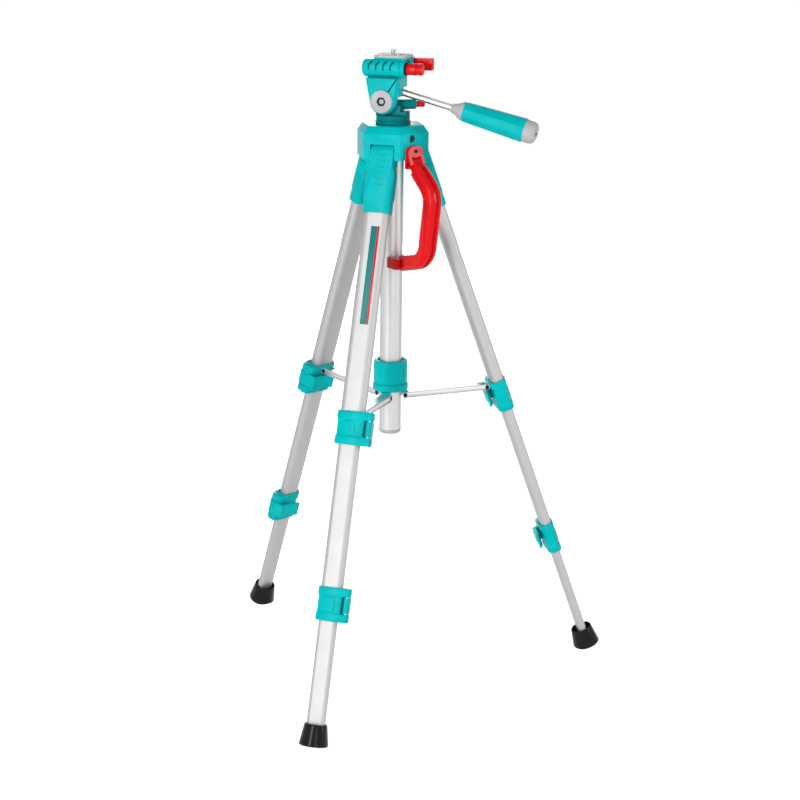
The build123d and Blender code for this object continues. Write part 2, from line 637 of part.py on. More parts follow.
# Spreader collar and the pins of its arms
with BuildPart() as spreader_collar:
    with BuildSketch(Plane.XY.offset(COLLAR_SEAM)):
        Circle(COLLAR_RADIUS)
    extrude(amount=COLLAR_HEIGHT - COLLAR_FOOT_HEIGHT)
    fillet(spreader_collar.edges().sort_by(Axis.Z)[-1], 1.2)
    with BuildSketch(Plane.XY.offset(COLLAR_BOTTOM)):
        Circle(COLLAR_FOOT_RADIUS)
    extrude(amount=COLLAR_FOOT_HEIGHT)
    for angle in LEGS.values():
        with BuildSketch(radial_plane(angle)):
            with Locations((ARM_PIN_CIRCLE, ARM_PIN_HEIGHT)):
                Circle(COLLAR_LUG_RADIUS)
                Rectangle(2 * COLLAR_LUG_RADIUS, ARM_PIN_DROP + 1, align=(Align.CENTER, Align.MIN))
        extrude(amount=COLLAR_LUG_WIDTH / 2, both=True)
    for angle in LEGS.values():
        with BuildSketch(radial_plane(angle)):
            with Locations((ARM_PIN_CIRCLE, ARM_PIN_HEIGHT)):
                Circle(ARM_PIN_RADIUS + SEAT)
        extrude(amount=COLLAR_LUG_WIDTH, both=True, mode=Mode.SUBTRACT)
    with BuildSketch(Plane.XY.offset(COLLAR_BOTTOM)):
        Circle(SLEEVE_RADIUS + SLIDE)
    extrude(amount=COLLAR_HEIGHT, mode=Mode.SUBTRACT)
save(spreader_collar, "spreader_collar")

with BuildPart() as spreader_arm_pins:
    for angle in LEGS.values():
        with BuildSketch(radial_plane(angle)):
            with Locations((ARM_PIN_CIRCLE, ARM_PIN_HEIGHT)):
                Circle(ARM_PIN_RADIUS)
        extrude(amount=ARM_WIDTH / 2 + 0.5, both=True)
save(spreader_arm_pins, "spreader_arm_pins")

# Carry handle
HANDLE_PLANE = radial_plane(HANDLE_ANGLE)
HANDLE_HINGE = (HANDLE_HINGE_OUT, HANDLE_HINGE_HEIGHT)
TONGUE_DROP = degrees(atan2(GRIP_TOP - HANDLE_HINGE_HEIGHT, GRIP_OUT - HANDLE_HINGE_OUT))
HANDLE_START = (
    HANDLE_HINGE_OUT + HANDLE_TONGUE * cos(radians(TONGUE_DROP)),
    HANDLE_HINGE_HEIGHT + HANDLE_TONGUE * sin(radians(TONGUE_DROP)),
)
with BuildPart() as carry_handle:
    with BuildLine(HANDLE_PLANE) as handle_run:
        FilletPolyline(
            HANDLE_START,
            (GRIP_OUT, GRIP_TOP),
            (GRIP_OUT - GRIP_LEAN, GRIP_BOTTOM),
            (FORK_OUTER - 4, FORK_BOTTOM + FORK_HEIGHT / 2),
            radius=HANDLE_BEND,
        )
    with BuildSketch(
        Plane(origin=handle_run.line @ 0, x_dir=HANDLE_PLANE.z_dir, z_dir=handle_run.line % 0)
    ):
        RectangleRounded(HANDLE_SECTION, HANDLE_SECTION, HANDLE_CORNER)
    sweep()
    with BuildSketch(HANDLE_PLANE):
        with Locations(HANDLE_HINGE):
            Circle(HANDLE_EYE_RADIUS)
            Rectangle(
                HANDLE_TONGUE + 3,
                2 * HANDLE_EYE_RADIUS - 1,
                rotation=TONGUE_DROP,
                align=(Align.MIN, Align.CENTER),
            )
    extrude(amount=HANDLE_EYE_WIDTH / 2, both=True)
    with BuildSketch(Plane(origin=(0, 0, FORK_BOTTOM), x_dir=outward(HANDLE_ANGLE, 1))):
        with Locations((FORK_INNER, 0)):
            Rectangle(FORK_OUTER - FORK_INNER, FORK_WIDTH, align=(Align.MIN, Align.CENTER))
        fillet(vertices(), 3)
        Circle(SLEEVE_RADIUS + SLIDE, mode=Mode.SUBTRACT)
    extrude(amount=FORK_HEIGHT)
    with BuildSketch(HANDLE_PLANE):
        with Locations(HANDLE_HINGE):
            Circle(HANDLE_PIN_RADIUS + RUN)
    extrude(amount=HANDLE_EYE_WIDTH, both=True, mode=Mode.SUBTRACT)
save(carry_handle, "carry_handle")

with BuildPart() as handle_bracket:
    with BuildSketch(HANDLE_PLANE):
        with BuildLine():
            Polyline(
                (BRACKET_BASE, BRACKET_BOTTOM),
                (HANDLE_HINGE_OUT, BRACKET_BOTTOM),
                (HANDLE_HINGE_OUT + BRACKET_NOSE, HANDLE_HINGE_HEIGHT),
                (BRACKET_FRONT, BRACKET_SCREW_HEIGHT - BRACKET_SCREW_HEAD),
                (BRACKET_FRONT, BRACKET_BOTTOM + BRACKET_HEIGHT),
                (BRACKET_BASE, BRACKET_BOTTOM + BRACKET_HEIGHT),
                close=True,
            )
        make_face()
    extrude(amount=BRACKET_WIDTH / 2, both=True)
    with BuildSketch(facing_plane(HANDLE_ANGLE, BRACKET_BASE, BRACKET_BOTTOM)):
        bracket_face()
    extrude(amount=CROWN_RADIUS, mode=Mode.INTERSECT)
    with BuildSketch(HANDLE_PLANE):
        with Locations((HANDLE_HINGE_OUT, HANDLE_HINGE_HEIGHT + HANDLE_EYE_RADIUS + 2.4)):
            Rectangle(4 * HANDLE_EYE_RADIUS, 4 * HANDLE_EYE_RADIUS, align=(Align.CENTER, Align.MAX))
    extrude(amount=HANDLE_EYE_WIDTH / 2 + 0.3, both=True, mode=Mode.SUBTRACT)
    with BuildSketch(HANDLE_PLANE):
        with Locations(HANDLE_HINGE):
            Circle(HANDLE_PIN_RADIUS + SEAT)
    extrude(amount=BRACKET_WIDTH, both=True, mode=Mode.SUBTRACT)
    with BuildSketch(facing_plane(HANDLE_ANGLE, BRACKET_BASE, BRACKET_SCREW_HEIGHT)):
        Circle(BRACKET_SCREW_RADIUS + SEAT)
    extrude(amount=CROWN_RADIUS, mode=Mode.SUBTRACT)
save(handle_bracket, "handle_bracket")

with BuildPart() as crown_fasteners:
    with BuildSketch(HANDLE_PLANE):
        with Locations(HANDLE_HINGE):
            Circle(HANDLE_PIN_RADIUS)
    extrude(amount=BRACKET_WIDTH / 2, both=True)
    with BuildSketch(facing_plane(HANDLE_ANGLE, BRACKET_FRONT, BRACKET_SCREW_HEIGHT)):
        Circle(BRACKET_SCREW_HEAD)
    extrude(amount=BRACKET_SCREW_RADIUS)
    with BuildSketch(facing_plane(HANDLE_ANGLE, BRACKET_FRONT, BRACKET_SCREW_HEIGHT)):
        Circle(BRACKET_SCREW_RADIUS)
    extrude(amount=BRACKET_BASE - BRACKET_SCREW_DEPTH - BRACKET_FRONT)
    with BuildSketch(facing_plane(CLAMP_SCREW_ANGLE, SLEEVE_RADIUS, CLAMP_SCREW_HEIGHT)):
        Circle(CLAMP_SCREW_RADIUS)
    extrude(amount=CLAMP_SCREW_LENGTH)
    with BuildSketch(
        facing_plane(CLAMP_SCREW_ANGLE, SLEEVE_RADIUS + CLAMP_SCREW_LENGTH, CLAMP_SCREW_HEIGHT)
    ):
        RegularPolygon(CLAMP_SCREW_RADIUS * 0.6, 6)
    extrude(amount=-2, mode=Mode.SUBTRACT)
save(crown_fasteners, "crown_fasteners")

# Pan base
PAN_BOSS_PLANE = facing_plane(PAN_BOSS_ANGLE, 0, PAN_BOSS_HEIGHT)
with BuildPart() as pan_base:
    with BuildSketch(Plane.XY.offset(NECK_BOTTOM)):
        Circle(NECK_RADIUS)
    extrude(amount=NECK_HEIGHT)
    fillet(pan_base.edges().sort_by(Axis.Z)[-1], 1)
    with BuildSketch(Plane.XY.offset(NECK_BOTTOM)):
        Circle(NECK_RADIUS)
        with Locations((0, -PAN_LUG_THICK / 2)):
            Rectangle(2 * NECK_RADIUS, 2 * NECK_RADIUS, align=(Align.CENTER, Align.MIN), mode=Mode.INTERSECT)
    extrude(amount=NECK_BACK_HEIGHT)
    with BuildSketch(Plane.XZ):
        with Locations((AXLE_X, AXLE_HEIGHT)):
            Circle(PAN_LUG_RADIUS)
            Rectangle(2 * PAN_LUG_RADIUS, AXLE_HEIGHT - NECK_TOP + 1, align=(Align.CENTER, Align.MAX))
        with Locations((AXLE_X, NECK_TOP - 1)):
            Rectangle(PAN_LUG_RADIUS - AXLE_X, PAN_BOSS_HEIGHT - NECK_TOP + 1, align=(Align.MIN, Align.MIN))
    extrude(amount=PAN_LUG_THICK / 2, both=True)
    with BuildSketch(PAN_BOSS_PLANE):
        Circle(PAN_BOSS_RADIUS)
    extrude(amount=PAN_BOSS_REACH)
    with BuildSketch(Plane.XY.offset(NECK_BOTTOM)):
        Circle(COLUMN_RADIUS + RUN)
    extrude(amount=COLUMN_SEAT, mode=Mode.SUBTRACT)
    with BuildSketch(Plane.XZ):
        with Locations((AXLE_X, AXLE_HEIGHT)):
            Circle(AXLE_RADIUS + RUN)
    extrude(amount=PAN_LUG_THICK, both=True, mode=Mode.SUBTRACT)
    with BuildSketch(PAN_BOSS_PLANE.offset(PAN_BOSS_REACH)):
        Circle(PAN_SCREW_RADIUS + RUN)
    extrude(amount=-PAN_SCREW_LENGTH, mode=Mode.SUBTRACT)
save(pan_base, "pan_base")

with BuildPart() as pan_lock_knob:
    with BuildSketch(PAN_BOSS_PLANE.offset(PAN_BOSS_REACH - PAN_SCREW_LENGTH + 0.5)):
        Circle(PAN_SCREW_RADIUS)
    extrude(amount=PAN_SCREW_LENGTH)
    with BuildSketch(PAN_BOSS_PLANE.offset(PAN_BOSS_REACH + 0.4)):
        Circle(PAN_KNOB_RADIUS)
        with PolarLocations(PAN_KNOB_RADIUS, 12):
            Circle(0.45, mode=Mode.SUBTRACT)
    extrude(amount=PAN_KNOB_LENGTH)
save(pan_lock_knob, "pan_lock_knob")

# Tilt body
ROD_AXIS = Vector(cos(radians(ROD_SLOPE)), 0, -sin(radians(ROD_SLOPE)))
ROD_PLANE = Plane(origin=ROD_ROOT, x_dir=(0, 1, 0), z_dir=ROD_AXIS)
CHEEK_INNER = PAN_LUG_THICK / 2 + CHEEK_GAP
with BuildPart() as tilt_body:
    with BuildSketch(Plane.XZ.offset(CHEEK_INNER)):
        with BuildLine():
            Polyline(
                (TILT_FRONT, TILT_TOP),
                (TILT_REAR, TILT_TOP),
                (TILT_REAR, REAR_BLOCK_BOTTOM),
                (AXLE_X + CHEEK_RADIUS * 0.95, AXLE_HEIGHT),
                (AXLE_X - CHEEK_RADIUS * 0.95, AXLE_HEIGHT),
                close=True,
            )
        make_face()
        with Locations((AXLE_X, AXLE_HEIGHT)):
            Circle(CHEEK_RADIUS)
    extrude(amount=CHEEK_OUTER - CHEEK_INNER)
    fillet(tilt_body.faces().sort_by(Axis.Y)[0].edges(), CHEEK_EASE)
    with BuildSketch(Plane.XZ.offset(-CHEEK_OUTER)):
        with Locations((AXLE_X, AXLE_HEIGHT)):
            Circle(FAR_CHEEK_RADIUS)
        with Locations((AXLE_X, AXLE_HEIGHT)):
            Rectangle(2 * FAR_CHEEK_RADIUS, TILT_RISE, align=(Align.CENTER, Align.MIN))
        with Locations((AXLE_X + FAR_CHEEK_RADIUS * 0.7, AXLE_HEIGHT)):
            Rectangle(
                FAR_CHEEK_RADIUS, 2 * BRIDGE_RISE, align=(Align.MIN, Align.CENTER), mode=Mode.SUBTRACT
            )
    extrude(amount=CHEEK_OUTER - CHEEK_INNER)
    with BuildSketch(Plane.XZ.offset(-CHEEK_OUTER)):
        with Locations((TILT_FRONT + BRIDGE_SHORT, TILT_TOP)):
            Rectangle(
                TILT_REAR - TILT_FRONT - BRIDGE_SHORT, TILT_TOP - BRIDGE_BOTTOM, align=(Align.MIN, Align.MAX)
            )
    extrude(amount=2 * CHEEK_OUTER - CHEEK_EASE)
    with BuildSketch(Plane.XZ.offset(-REAR_BLOCK_FAR)):
        with Locations((TILT_REAR, TILT_TOP)):
            Rectangle(
                TILT_REAR - REAR_BLOCK_INNER, TILT_TOP - REAR_BLOCK_BOTTOM, align=(Align.MAX, Align.MAX)
            )
    extrude(amount=REAR_BLOCK_FAR + CHEEK_OUTER - CHEEK_EASE)
    with BuildSketch(Plane.XZ.offset(-BARREL_SADDLE_FAR)):
        with Locations((BARREL_REAR - 1, BARREL_HEIGHT)):
            Rectangle(SADDLE_LENGTH, SADDLE_HEIGHT, align=(Align.MAX, Align.MAX))
    extrude(amount=BARREL_SADDLE)
    with BuildSketch(Plane.YZ.offset(BARREL_FRONT)):
        with Locations((BARREL_Y, BARREL_HEIGHT)):
            Circle(BARREL_RADIUS)
    extrude(amount=BARREL_REAR - BARREL_FRONT)
    fillet(tilt_body.edges().sort_by(Axis.X)[0], BARREL_END_EASE)
    for groove in range(BARREL_GROOVES):
        with BuildSketch(Plane.YZ.offset(GROOVE_FIRST + groove * GROOVE_PITCH)):
            with Locations((BARREL_Y - BARREL_RADIUS, BARREL_HEIGHT + 2)):
                Rectangle(BARREL_RADIUS, GROOVE_HEIGHT)
            with Locations((BARREL_Y, BARREL_HEIGHT)):
                Circle(BARREL_RADIUS - 0.9, mode=Mode.SUBTRACT)
        extrude(amount=GROOVE_WIDTH, mode=Mode.SUBTRACT)
    with BuildSketch(Plane.YZ.offset(BARREL_REAR)):
        with Locations((BARREL_Y, BARREL_HEIGHT)):
            Circle(PORTRAIT_AXLE_RADIUS + RUN)
    extrude(amount=-PORTRAIT_AXLE_DEPTH, mode=Mode.SUBTRACT)
    with BuildSketch(Plane.XZ):
        with Locations((AXLE_X, AXLE_HEIGHT)):
            Circle(AXLE_RADIUS + SEAT)
    extrude(amount=CHEEK_OUTER, both=True, mode=Mode.SUBTRACT)
    with BuildSketch(ROD_PLANE.offset(-ROD_BURIED)):
        Circle(ROD_RADIUS + RUN)
    extrude(amount=2 * ROD_BURIED, mode=Mode.SUBTRACT)
    with BuildSketch(Plane.XZ.offset(CHEEK_OUTER)):
        with Locations(((SLIT_HIGH_X + SLIT_LOW_X) / 2, (SLIT_HIGH + SLIT_LOW) / 2)):
            Rectangle(
                hypot(SLIT_HIGH_X - SLIT_LOW_X, SLIT_HIGH - SLIT_LOW),
                SLIT_WIDTH,
                rotation=degrees(atan2(SLIT_HIGH - SLIT_LOW, SLIT_HIGH_X - SLIT_LOW_X)),
            )
        with Locations((SLIT_HIGH_X, SLIT_HIGH)):
            Rectangle(SLIT_WIDTH, TILT_TOP - SLIT_HIGH + 1, align=(Align.CENTER, Align.MIN))
    extrude(amount=-1.2, mode=Mode.SUBTRACT)
save(tilt_body, "tilt_body")

with BuildPart() as tilt_axle:
    with BuildSketch(Plane.XZ.offset(CHEEK_OUTER)):
        with Locations((AXLE_X, AXLE_HEIGHT)):
            Circle(AXLE_CAP_RADIUS)
    extrude(amount=AXLE_CAP_THICK)
    fillet(tilt_axle.edges().sort_by(Axis.Y)[0], 0.9)
    with BuildSketch(Plane.XZ.offset(CHEEK_OUTER + AXLE_CAP_THICK)):
        with Locations((AXLE_X, AXLE_HEIGHT)):
            RegularPolygon(AXLE_SOCKET_RADIUS, 6)
    extrude(amount=-AXLE_CAP_THICK * 0.7, mode=Mode.SUBTRACT)
    with BuildSketch(Plane.XZ.offset(CHEEK_OUTER)):
        with Locations((AXLE_X, AXLE_HEIGHT)):
            Circle(AXLE_RADIUS)
    extrude(amount=-2 * CHEEK_OUTER)
save(tilt_axle, "tilt_axle")

# Pan handle
with BuildPart() as handle_rod:
    with BuildSketch(ROD_PLANE.offset(-ROD_BURIED)):
        Circle(ROD_RADIUS)
    extrude(amount=ROD_LENGTH)
save(handle_rod, "handle_rod")

with BuildPart() as handle_ferrule:
    with BuildSketch(Plane(origin=ROD_ROOT, x_dir=ROD_AXIS, z_dir=(0, -1, 0))):
        with BuildLine():
            Polyline(
                (FERRULE_START, ROD_RADIUS + SEAT),
                (FERRULE_START, FERRULE_SMALL - 0.6),
                (FERRULE_START + 0.6, FERRULE_SMALL),
                (FERRULE_START + FERRULE_NECK, FERRULE_SMALL + 1),
                (GRIP_START - 2 * FERRULE_RIM, FERRULE_LARGE - FERRULE_RIM / 2),
                (GRIP_START - FERRULE_RIM, FERRULE_LARGE),
                (GRIP_START, FERRULE_LARGE),
                (GRIP_START, ROD_RADIUS + SEAT),
                close=True,
            )
        make_face()
    revolve(axis=Axis(ROD_ROOT, ROD_AXIS))
save(handle_ferrule, "handle_ferrule")

with BuildPart() as handle_grip:
    with BuildSketch(ROD_PLANE.offset(GRIP_START)):
        RegularPolygon(GRIP_SMALL, 8, rotation=22.5)
        fillet(vertices(), GRIP_EDGE)
    with BuildSketch(ROD_PLANE.offset(GRIP_END)):
        RegularPolygon(GRIP_RADIUS, 8, rotation=22.5)
        fillet(vertices(), GRIP_EDGE)
    loft()
    with BuildSketch(ROD_PLANE.offset(GRIP_START)):
        Circle(ROD_RADIUS + SEAT)
    extrude(amount=ROD_LENGTH - ROD_BURIED - GRIP_START, mode=Mode.SUBTRACT)
save(handle_grip, "handle_grip")

with BuildPart() as handle_end_cap:
    with BuildSketch(ROD_PLANE.offset(GRIP_END)):
        Circle(END_CAP_RADIUS)
    extrude(amount=HANDLE_END - GRIP_END)
    fillet(handle_end_cap.edges().sort_by(Axis(ROD_ROOT, ROD_AXIS))[-1], 4)
    with BuildSketch(ROD_PLANE.offset(HANDLE_END)):
        SlotOverall(9, 2.4)
    extrude(amount=-2, mode=Mode.SUBTRACT)
save(handle_end_cap, "handle_end_cap")

# Platform that carries the camera plate
with BuildPart() as platform:
    with BuildSketch(Plane.XY.offset(BARREL_HEIGHT)):
        with Locations((0, (TRAY_FRONT + TRAY_BACK) / 2)):
            RectangleRounded(TRAY_LENGTH, TRAY_BACK - TRAY_FRONT, 3)
    extrude(amount=TRAY_HEIGHT)
    with BuildSketch(Plane.YZ.offset(-TRAY_LENGTH)):
        with Locations((BARREL_Y, BARREL_HEIGHT)):
            Circle(BARREL_RADIUS + TRAY_BARREL_GAP)
    extrude(amount=2 * TRAY_LENGTH, mode=Mode.SUBTRACT)
    with BuildSketch(Plane.YZ.offset(BARREL_REAR + KNUCKLE_CLEAR)):
        with Locations((BARREL_Y, BARREL_HEIGHT)):
            Circle(BARREL_RADIUS)
            Rectangle(BARREL_Y - TRAY_FRONT, TRAY_HEIGHT, align=(Align.MAX, Align.MIN))
            Rectangle(BARREL_RADIUS, TRAY_HEIGHT, align=(Align.MIN, Align.MIN))
            Circle(PORTRAIT_AXLE_RADIUS + RUN, mode=Mode.SUBTRACT)
    extrude(amount=KNUCKLE_THICK)
    with BuildSketch(Plane.XY.offset(TRAY_TOP)):
        with Locations((0, PLATE_KEY_Y)):
            Rectangle(PLATE_KEY_LENGTH + 2 * KEY_CLEAR, PLATE_KEY_WIDTH + 2 * KEY_CLEAR)
    extrude(amount=-PLATE_KEY_DEPTH - KEY_CLEAR, mode=Mode.SUBTRACT)
    with BuildSketch(Plane.XY.offset(RELEASE_BOTTOM - 0.4)):
        with Locations((RELEASE_X - RELEASE_SWEEP, RELEASE_Y - RELEASE_SWEEP)):
            Rectangle(TRAY_LENGTH, TRAY_BACK - TRAY_FRONT, align=(Align.MIN, Align.MIN))
    extrude(amount=RELEASE_THICK + 0.8, mode=Mode.SUBTRACT)
    with BuildSketch(Plane.XY.offset(RELEASE_TOP)):
        with Locations((RELEASE_X, RELEASE_Y)):
            Circle(RELEASE_PIN_RADIUS + RUN)
    extrude(amount=BARREL_HEIGHT + 0.6 - RELEASE_TOP, mode=Mode.SUBTRACT)
save(platform, "platform")

with BuildPart() as release_lever:
    with BuildSketch(Plane.XY.offset(RELEASE_BOTTOM)):
        with Locations((RELEASE_X, RELEASE_Y)):
            Circle(RELEASE_WIDTH / 2)
            Rectangle(RELEASE_END - RELEASE_X, RELEASE_WIDTH, align=(Align.MIN, Align.CENTER))
    extrude(amount=RELEASE_THICK)
    with BuildSketch(Plane.XY.offset(RELEASE_TOP)):
        with Locations((RELEASE_END, RELEASE_Y)):
            Rectangle(RELEASE_TAB, RELEASE_WIDTH, align=(Align.MAX, Align.CENTER))
    extrude(amount=-RELEASE_TAB_DEPTH)
    fillet(release_lever.edges().filter_by(Axis.Y), 1.4)
    with BuildSketch(Plane.XY.offset(RELEASE_BOTTOM)):
        with Locations((RELEASE_X, RELEASE_Y)):
            Circle(RELEASE_PIN_RADIUS)
    extrude(amount=BARREL_HEIGHT + 1 - RELEASE_BOTTOM)
save(release_lever, "release_lever")

with BuildPart() as quick_release_plate:
    with BuildSketch(Plane.XY.offset(TRAY_TOP)):
        RectangleRounded(PLATE_LENGTH, PLATE_WIDTH, PLATE_CORNER)
    extrude(amount=PLATE_THICK)
    chamfer(quick_release_plate.faces().sort_by(Axis.Z)[-1].edges(), 0.6)
    with BuildSketch(Plane.XY.offset(TRAY_TOP)):
        with Locations((0, PLATE_KEY_Y)):
            Rectangle(PLATE_KEY_LENGTH, PLATE_KEY_WIDTH)
    extrude(amount=-PLATE_KEY_DEPTH)
    with BuildSketch(Plane.XY.offset(TRAY_TOP)):
        Circle(CAMERA_SCREW_HEAD + KEY_CLEAR)
    extrude(amount=SCREW_HEAD_THICK + 2 * SCREW_HEAD_SINK, mode=Mode.SUBTRACT)
    with BuildSketch(Plane.XY.offset(TRAY_TOP)):
        Circle(CAMERA_SCREW_NECK + RUN)
    extrude(amount=PLATE_THICK, mode=Mode.SUBTRACT)
save(quick_release_plate, "quick_release_plate")

with BuildPart() as camera_screw:
    with BuildSketch(Plane.XY.offset(TRAY_TOP + SCREW_HEAD_SINK)):
        Circle(CAMERA_SCREW_HEAD)
    extrude(amount=SCREW_HEAD_THICK)
    with BuildSketch(Plane.XY.offset(TRAY_TOP + SCREW_HEAD_SINK)):
        Circle(CAMERA_SCREW_NECK)
    extrude(amount=PLATE_THICK)
    with BuildSketch(Plane.XY.offset(PLATE_TOP + SCREW_HEAD_SINK)):
        Circle(CAMERA_SCREW_RADIUS)
    extrude(amount=CAMERA_SCREW_LENGTH)
    chamfer(camera_screw.edges().sort_by(Axis.Z)[-1], 0.7)
save(camera_screw, "camera_screw")

with BuildPart() as portrait_knob:
    with BuildSketch(Plane.YZ.offset(PORTRAIT_KNOB_START)):
        with Locations((BARREL_Y, BARREL_HEIGHT)):
            Circle(PORTRAIT_AXLE_RADIUS)
    extrude(amount=BARREL_REAR + 1 - PORTRAIT_AXLE_DEPTH - PORTRAIT_KNOB_START)
    with BuildSketch(Plane.YZ.offset(PORTRAIT_KNOB_START)):
        with Locations((BARREL_Y, BARREL_HEIGHT)):
            Circle(PORTRAIT_KNOB_RADIUS)
    extrude(amount=PORTRAIT_KNOB_LENGTH)
    with BuildSketch(Plane.YZ.offset(PORTRAIT_KNOB_START + PORTRAIT_KNOB_LENGTH * 0.6)):
        with Locations((BARREL_Y, BARREL_HEIGHT)):
            Circle(2 * PORTRAIT_KNOB_RADIUS)
            Circle(PORTRAIT_KNOB_RADIUS - 1, mode=Mode.SUBTRACT)
    extrude(amount=1.6, mode=Mode.SUBTRACT)
    fillet(portrait_knob.edges().sort_by(Axis.X)[-1], 1.2)
save(portrait_knob, "portrait_knob")
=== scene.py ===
from math import cos, radians, sin, tan

import bmesh
import bpy
from mathutils import Matrix, Vector


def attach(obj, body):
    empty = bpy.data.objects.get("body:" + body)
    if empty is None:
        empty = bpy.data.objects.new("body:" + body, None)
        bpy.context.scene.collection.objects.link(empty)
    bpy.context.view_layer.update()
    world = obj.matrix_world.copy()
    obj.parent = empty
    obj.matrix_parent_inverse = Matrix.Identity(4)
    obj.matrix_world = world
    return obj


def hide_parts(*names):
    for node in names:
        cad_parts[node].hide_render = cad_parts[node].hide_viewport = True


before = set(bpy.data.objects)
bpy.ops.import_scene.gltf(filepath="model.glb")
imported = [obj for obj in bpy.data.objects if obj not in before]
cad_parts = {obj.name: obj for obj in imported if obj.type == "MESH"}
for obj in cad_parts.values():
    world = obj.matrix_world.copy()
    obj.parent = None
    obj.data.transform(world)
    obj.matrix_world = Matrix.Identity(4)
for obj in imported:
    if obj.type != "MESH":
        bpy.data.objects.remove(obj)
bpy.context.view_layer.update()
bpy.ops.object.select_all(action="DESELECT")

# Sizes of the tripod in millimetres
LEGS = {"front": -90.0, "right": 30.0, "left": 150.0}
FOOT_CIRCLE = 240.0
LEG_LEAN = 19.87
LOWER_TUBE = (20.2, 9.2)
MIDDLE_TUBE = (23.4, 11.8)
UPPER_TUBE = (27.0, 14.7)
UPPER_LOCK_BASE = 317.0
LOWER_LOCK_BASE = 132.8
LOCK_HEIGHT = 35.4
HINGE_UP = 626.0
LUG_UP = 348.8
ARM_PIN = (15.8, 318.5)
ARM_REACH = 93.37
ARM_RISE = 3.1
HANDLE_ANGLE = -34.0
ROD_ROOT = Vector((9.8, 0, 651.0))
ROD_SLOPE = 14.0
LABEL_UP = 495.5
LABEL_LENGTH = 104.0
BARS_UP = 591.0
BAR_STEP = 6.4
CLAMP_SCREW_UP = 605.0
CLAMP_SCREW_ANGLE = -37.0
TILT_AXLE = (-7, 0, 642)
ROLL_AXIS = (0, -8, 676)
THREAD_PITCH = 1.27

# Heights up a lock collar and how much its width and depth draw in there
COLLAR_PROFILE = (
    (0.0, 2.0), (0.5, 0.7), (1.4, 0.0), (7.2, 0.0), (8.2, 0.5), (9.0, 1.5), (10.2, 2.0),
    (25.2, 2.0), (26.4, 1.5), (27.2, 0.5), (28.2, 0.0), (34.0, 0.0), (34.9, 0.7), (35.4, 2.0),
)
COLLAR_SWELL = 45.0

# A point on the flat that takes off each flip lever's rear corner, and the way the flat faces
LEVER_CORNERS = {
    "upper": ((23.3, -1.6, 0), (0.975, 0.223, 0)),
    "lower": ((21.5, -0.1, 0), (0.964, 0.264, 0)),
}

# The photograph's view: angles in degrees, aim and distance in metres, focal length and
# image side in pixels, sensor in millimetres
VIEW_TURN = 18.27
VIEW_TILT = 15.81
VIEW_ROLL = 0.6465
VIEW_AIM = (0.010824, 0, 0.311904)
VIEW_DISTANCE = 2.040216
FOCAL_LENGTH = 1840.44
IMAGE_SIDE = 800
SENSOR = 36


# Placing
def outward(angle, reach):
    return Vector((reach * cos(radians(angle)), reach * sin(radians(angle)), 0))


def placing(origin, across, along):
    """Place with its own X and Z directions, in millimetres."""
    along = Vector(along).normalized()
    side = along.cross(Vector(across)).normalized()
    place = Matrix((side.cross(along), side, along)).transposed().to_4x4()
    place.translation = Vector(origin)
    return place


def leg_place(angle):
    """At the foot of a leg: X across it, Y towards the column, Z up it."""
    lean = radians(LEG_LEAN)
    up = Vector((0, 0, cos(lean))) - outward(angle, sin(lean))
    return placing(outward(angle, FOOT_CIRCLE), outward(angle + 90, 1), up)


def arm_place(angle):
    """At the inner pin of a spreader arm: X out along it, Z up."""
    rise = radians(ARM_RISE)
    along = outward(angle, cos(rise)) + Vector((0, 0, sin(rise)))
    up = Vector((0, 0, cos(rise))) - outward(angle, sin(rise))
    return placing(outward(angle, ARM_PIN[0]) + Vector((0, 0, ARM_PIN[1])), along, up)


def handle_place():
    """Upright plane of the carry handle: X out from the column, Z up."""
    return placing((0, 0, 0), outward(HANDLE_ANGLE, 1), (0, 0, 1))


def rod_place():
    """Along the pan handle from its root."""
    slope = radians(ROD_SLOPE)
    return placing(ROD_ROOT, (0, 1, 0), (cos(slope), 0, -sin(slope)))


def shifted(x=0.0, y=0.0, z=0.0):
    return Matrix.Translation((x, y, z))


def turned(degrees, axis):
    return Matrix.Rotation(radians(degrees), 4, axis)


def axle_place():
    """Along the tilt axle: Z towards the near cheek."""
    return shifted(*TILT_AXLE) @ turned(90, "X")


def roll_place():
    """Along the roll on the tilt body: Z towards the portrait knob."""
    return shifted(*ROLL_AXIS) @ turned(90, "Y")


# Modelling
def alone(piece):
    bpy.ops.object.select_all(action="DESELECT")
    bpy.context.view_layer.objects.active = piece
    piece.select_set(True)


def closed_up():
    """Tidy the mesh being edited and leave edit mode."""
    bpy.ops.mesh.select_all(action="SELECT")
    bpy.ops.mesh.remove_doubles(threshold=0.002)
    bpy.ops.mesh.normals_make_consistent(inside=False)
    bpy.ops.object.mode_set(mode="OBJECT")


def chosen(piece, kind, test):
    """Select the faces or edges that pass a test in the mesh being edited."""
    bpy.ops.mesh.select_mode(type=kind)
    mesh = bmesh.from_edit_mesh(piece.data)
    for part in mesh.faces if kind == "FACE" else mesh.edges:
        part.select = test(part)
    bmesh.update_edit_mesh(piece.data)


def sliced(piece, point, normal, **side):
    """Take off one side of a plane and close the cut."""
    alone(piece)
    bpy.ops.object.mode_set(mode="EDIT")
    bpy.ops.mesh.select_all(action="SELECT")
    bpy.ops.mesh.bisect(plane_co=point, plane_no=normal, use_fill=True, threshold=0.000001, **side)
    bpy.ops.object.mode_set(mode="OBJECT")


def drawn_through(rings):
    """Extrude the selected face from ring to ring; a ring is its height, width and depth."""
    height, width, depth = rings[0]
    for up, wide, deep in rings[1:]:
        bpy.ops.mesh.extrude_region_move(TRANSFORM_OT_translate={"value": (0, 0, up - height)})
        bpy.ops.transform.resize(value=(wide / width, deep / depth, 1), center_override=(0, 0, up))
        height, width, depth = up, wide, deep


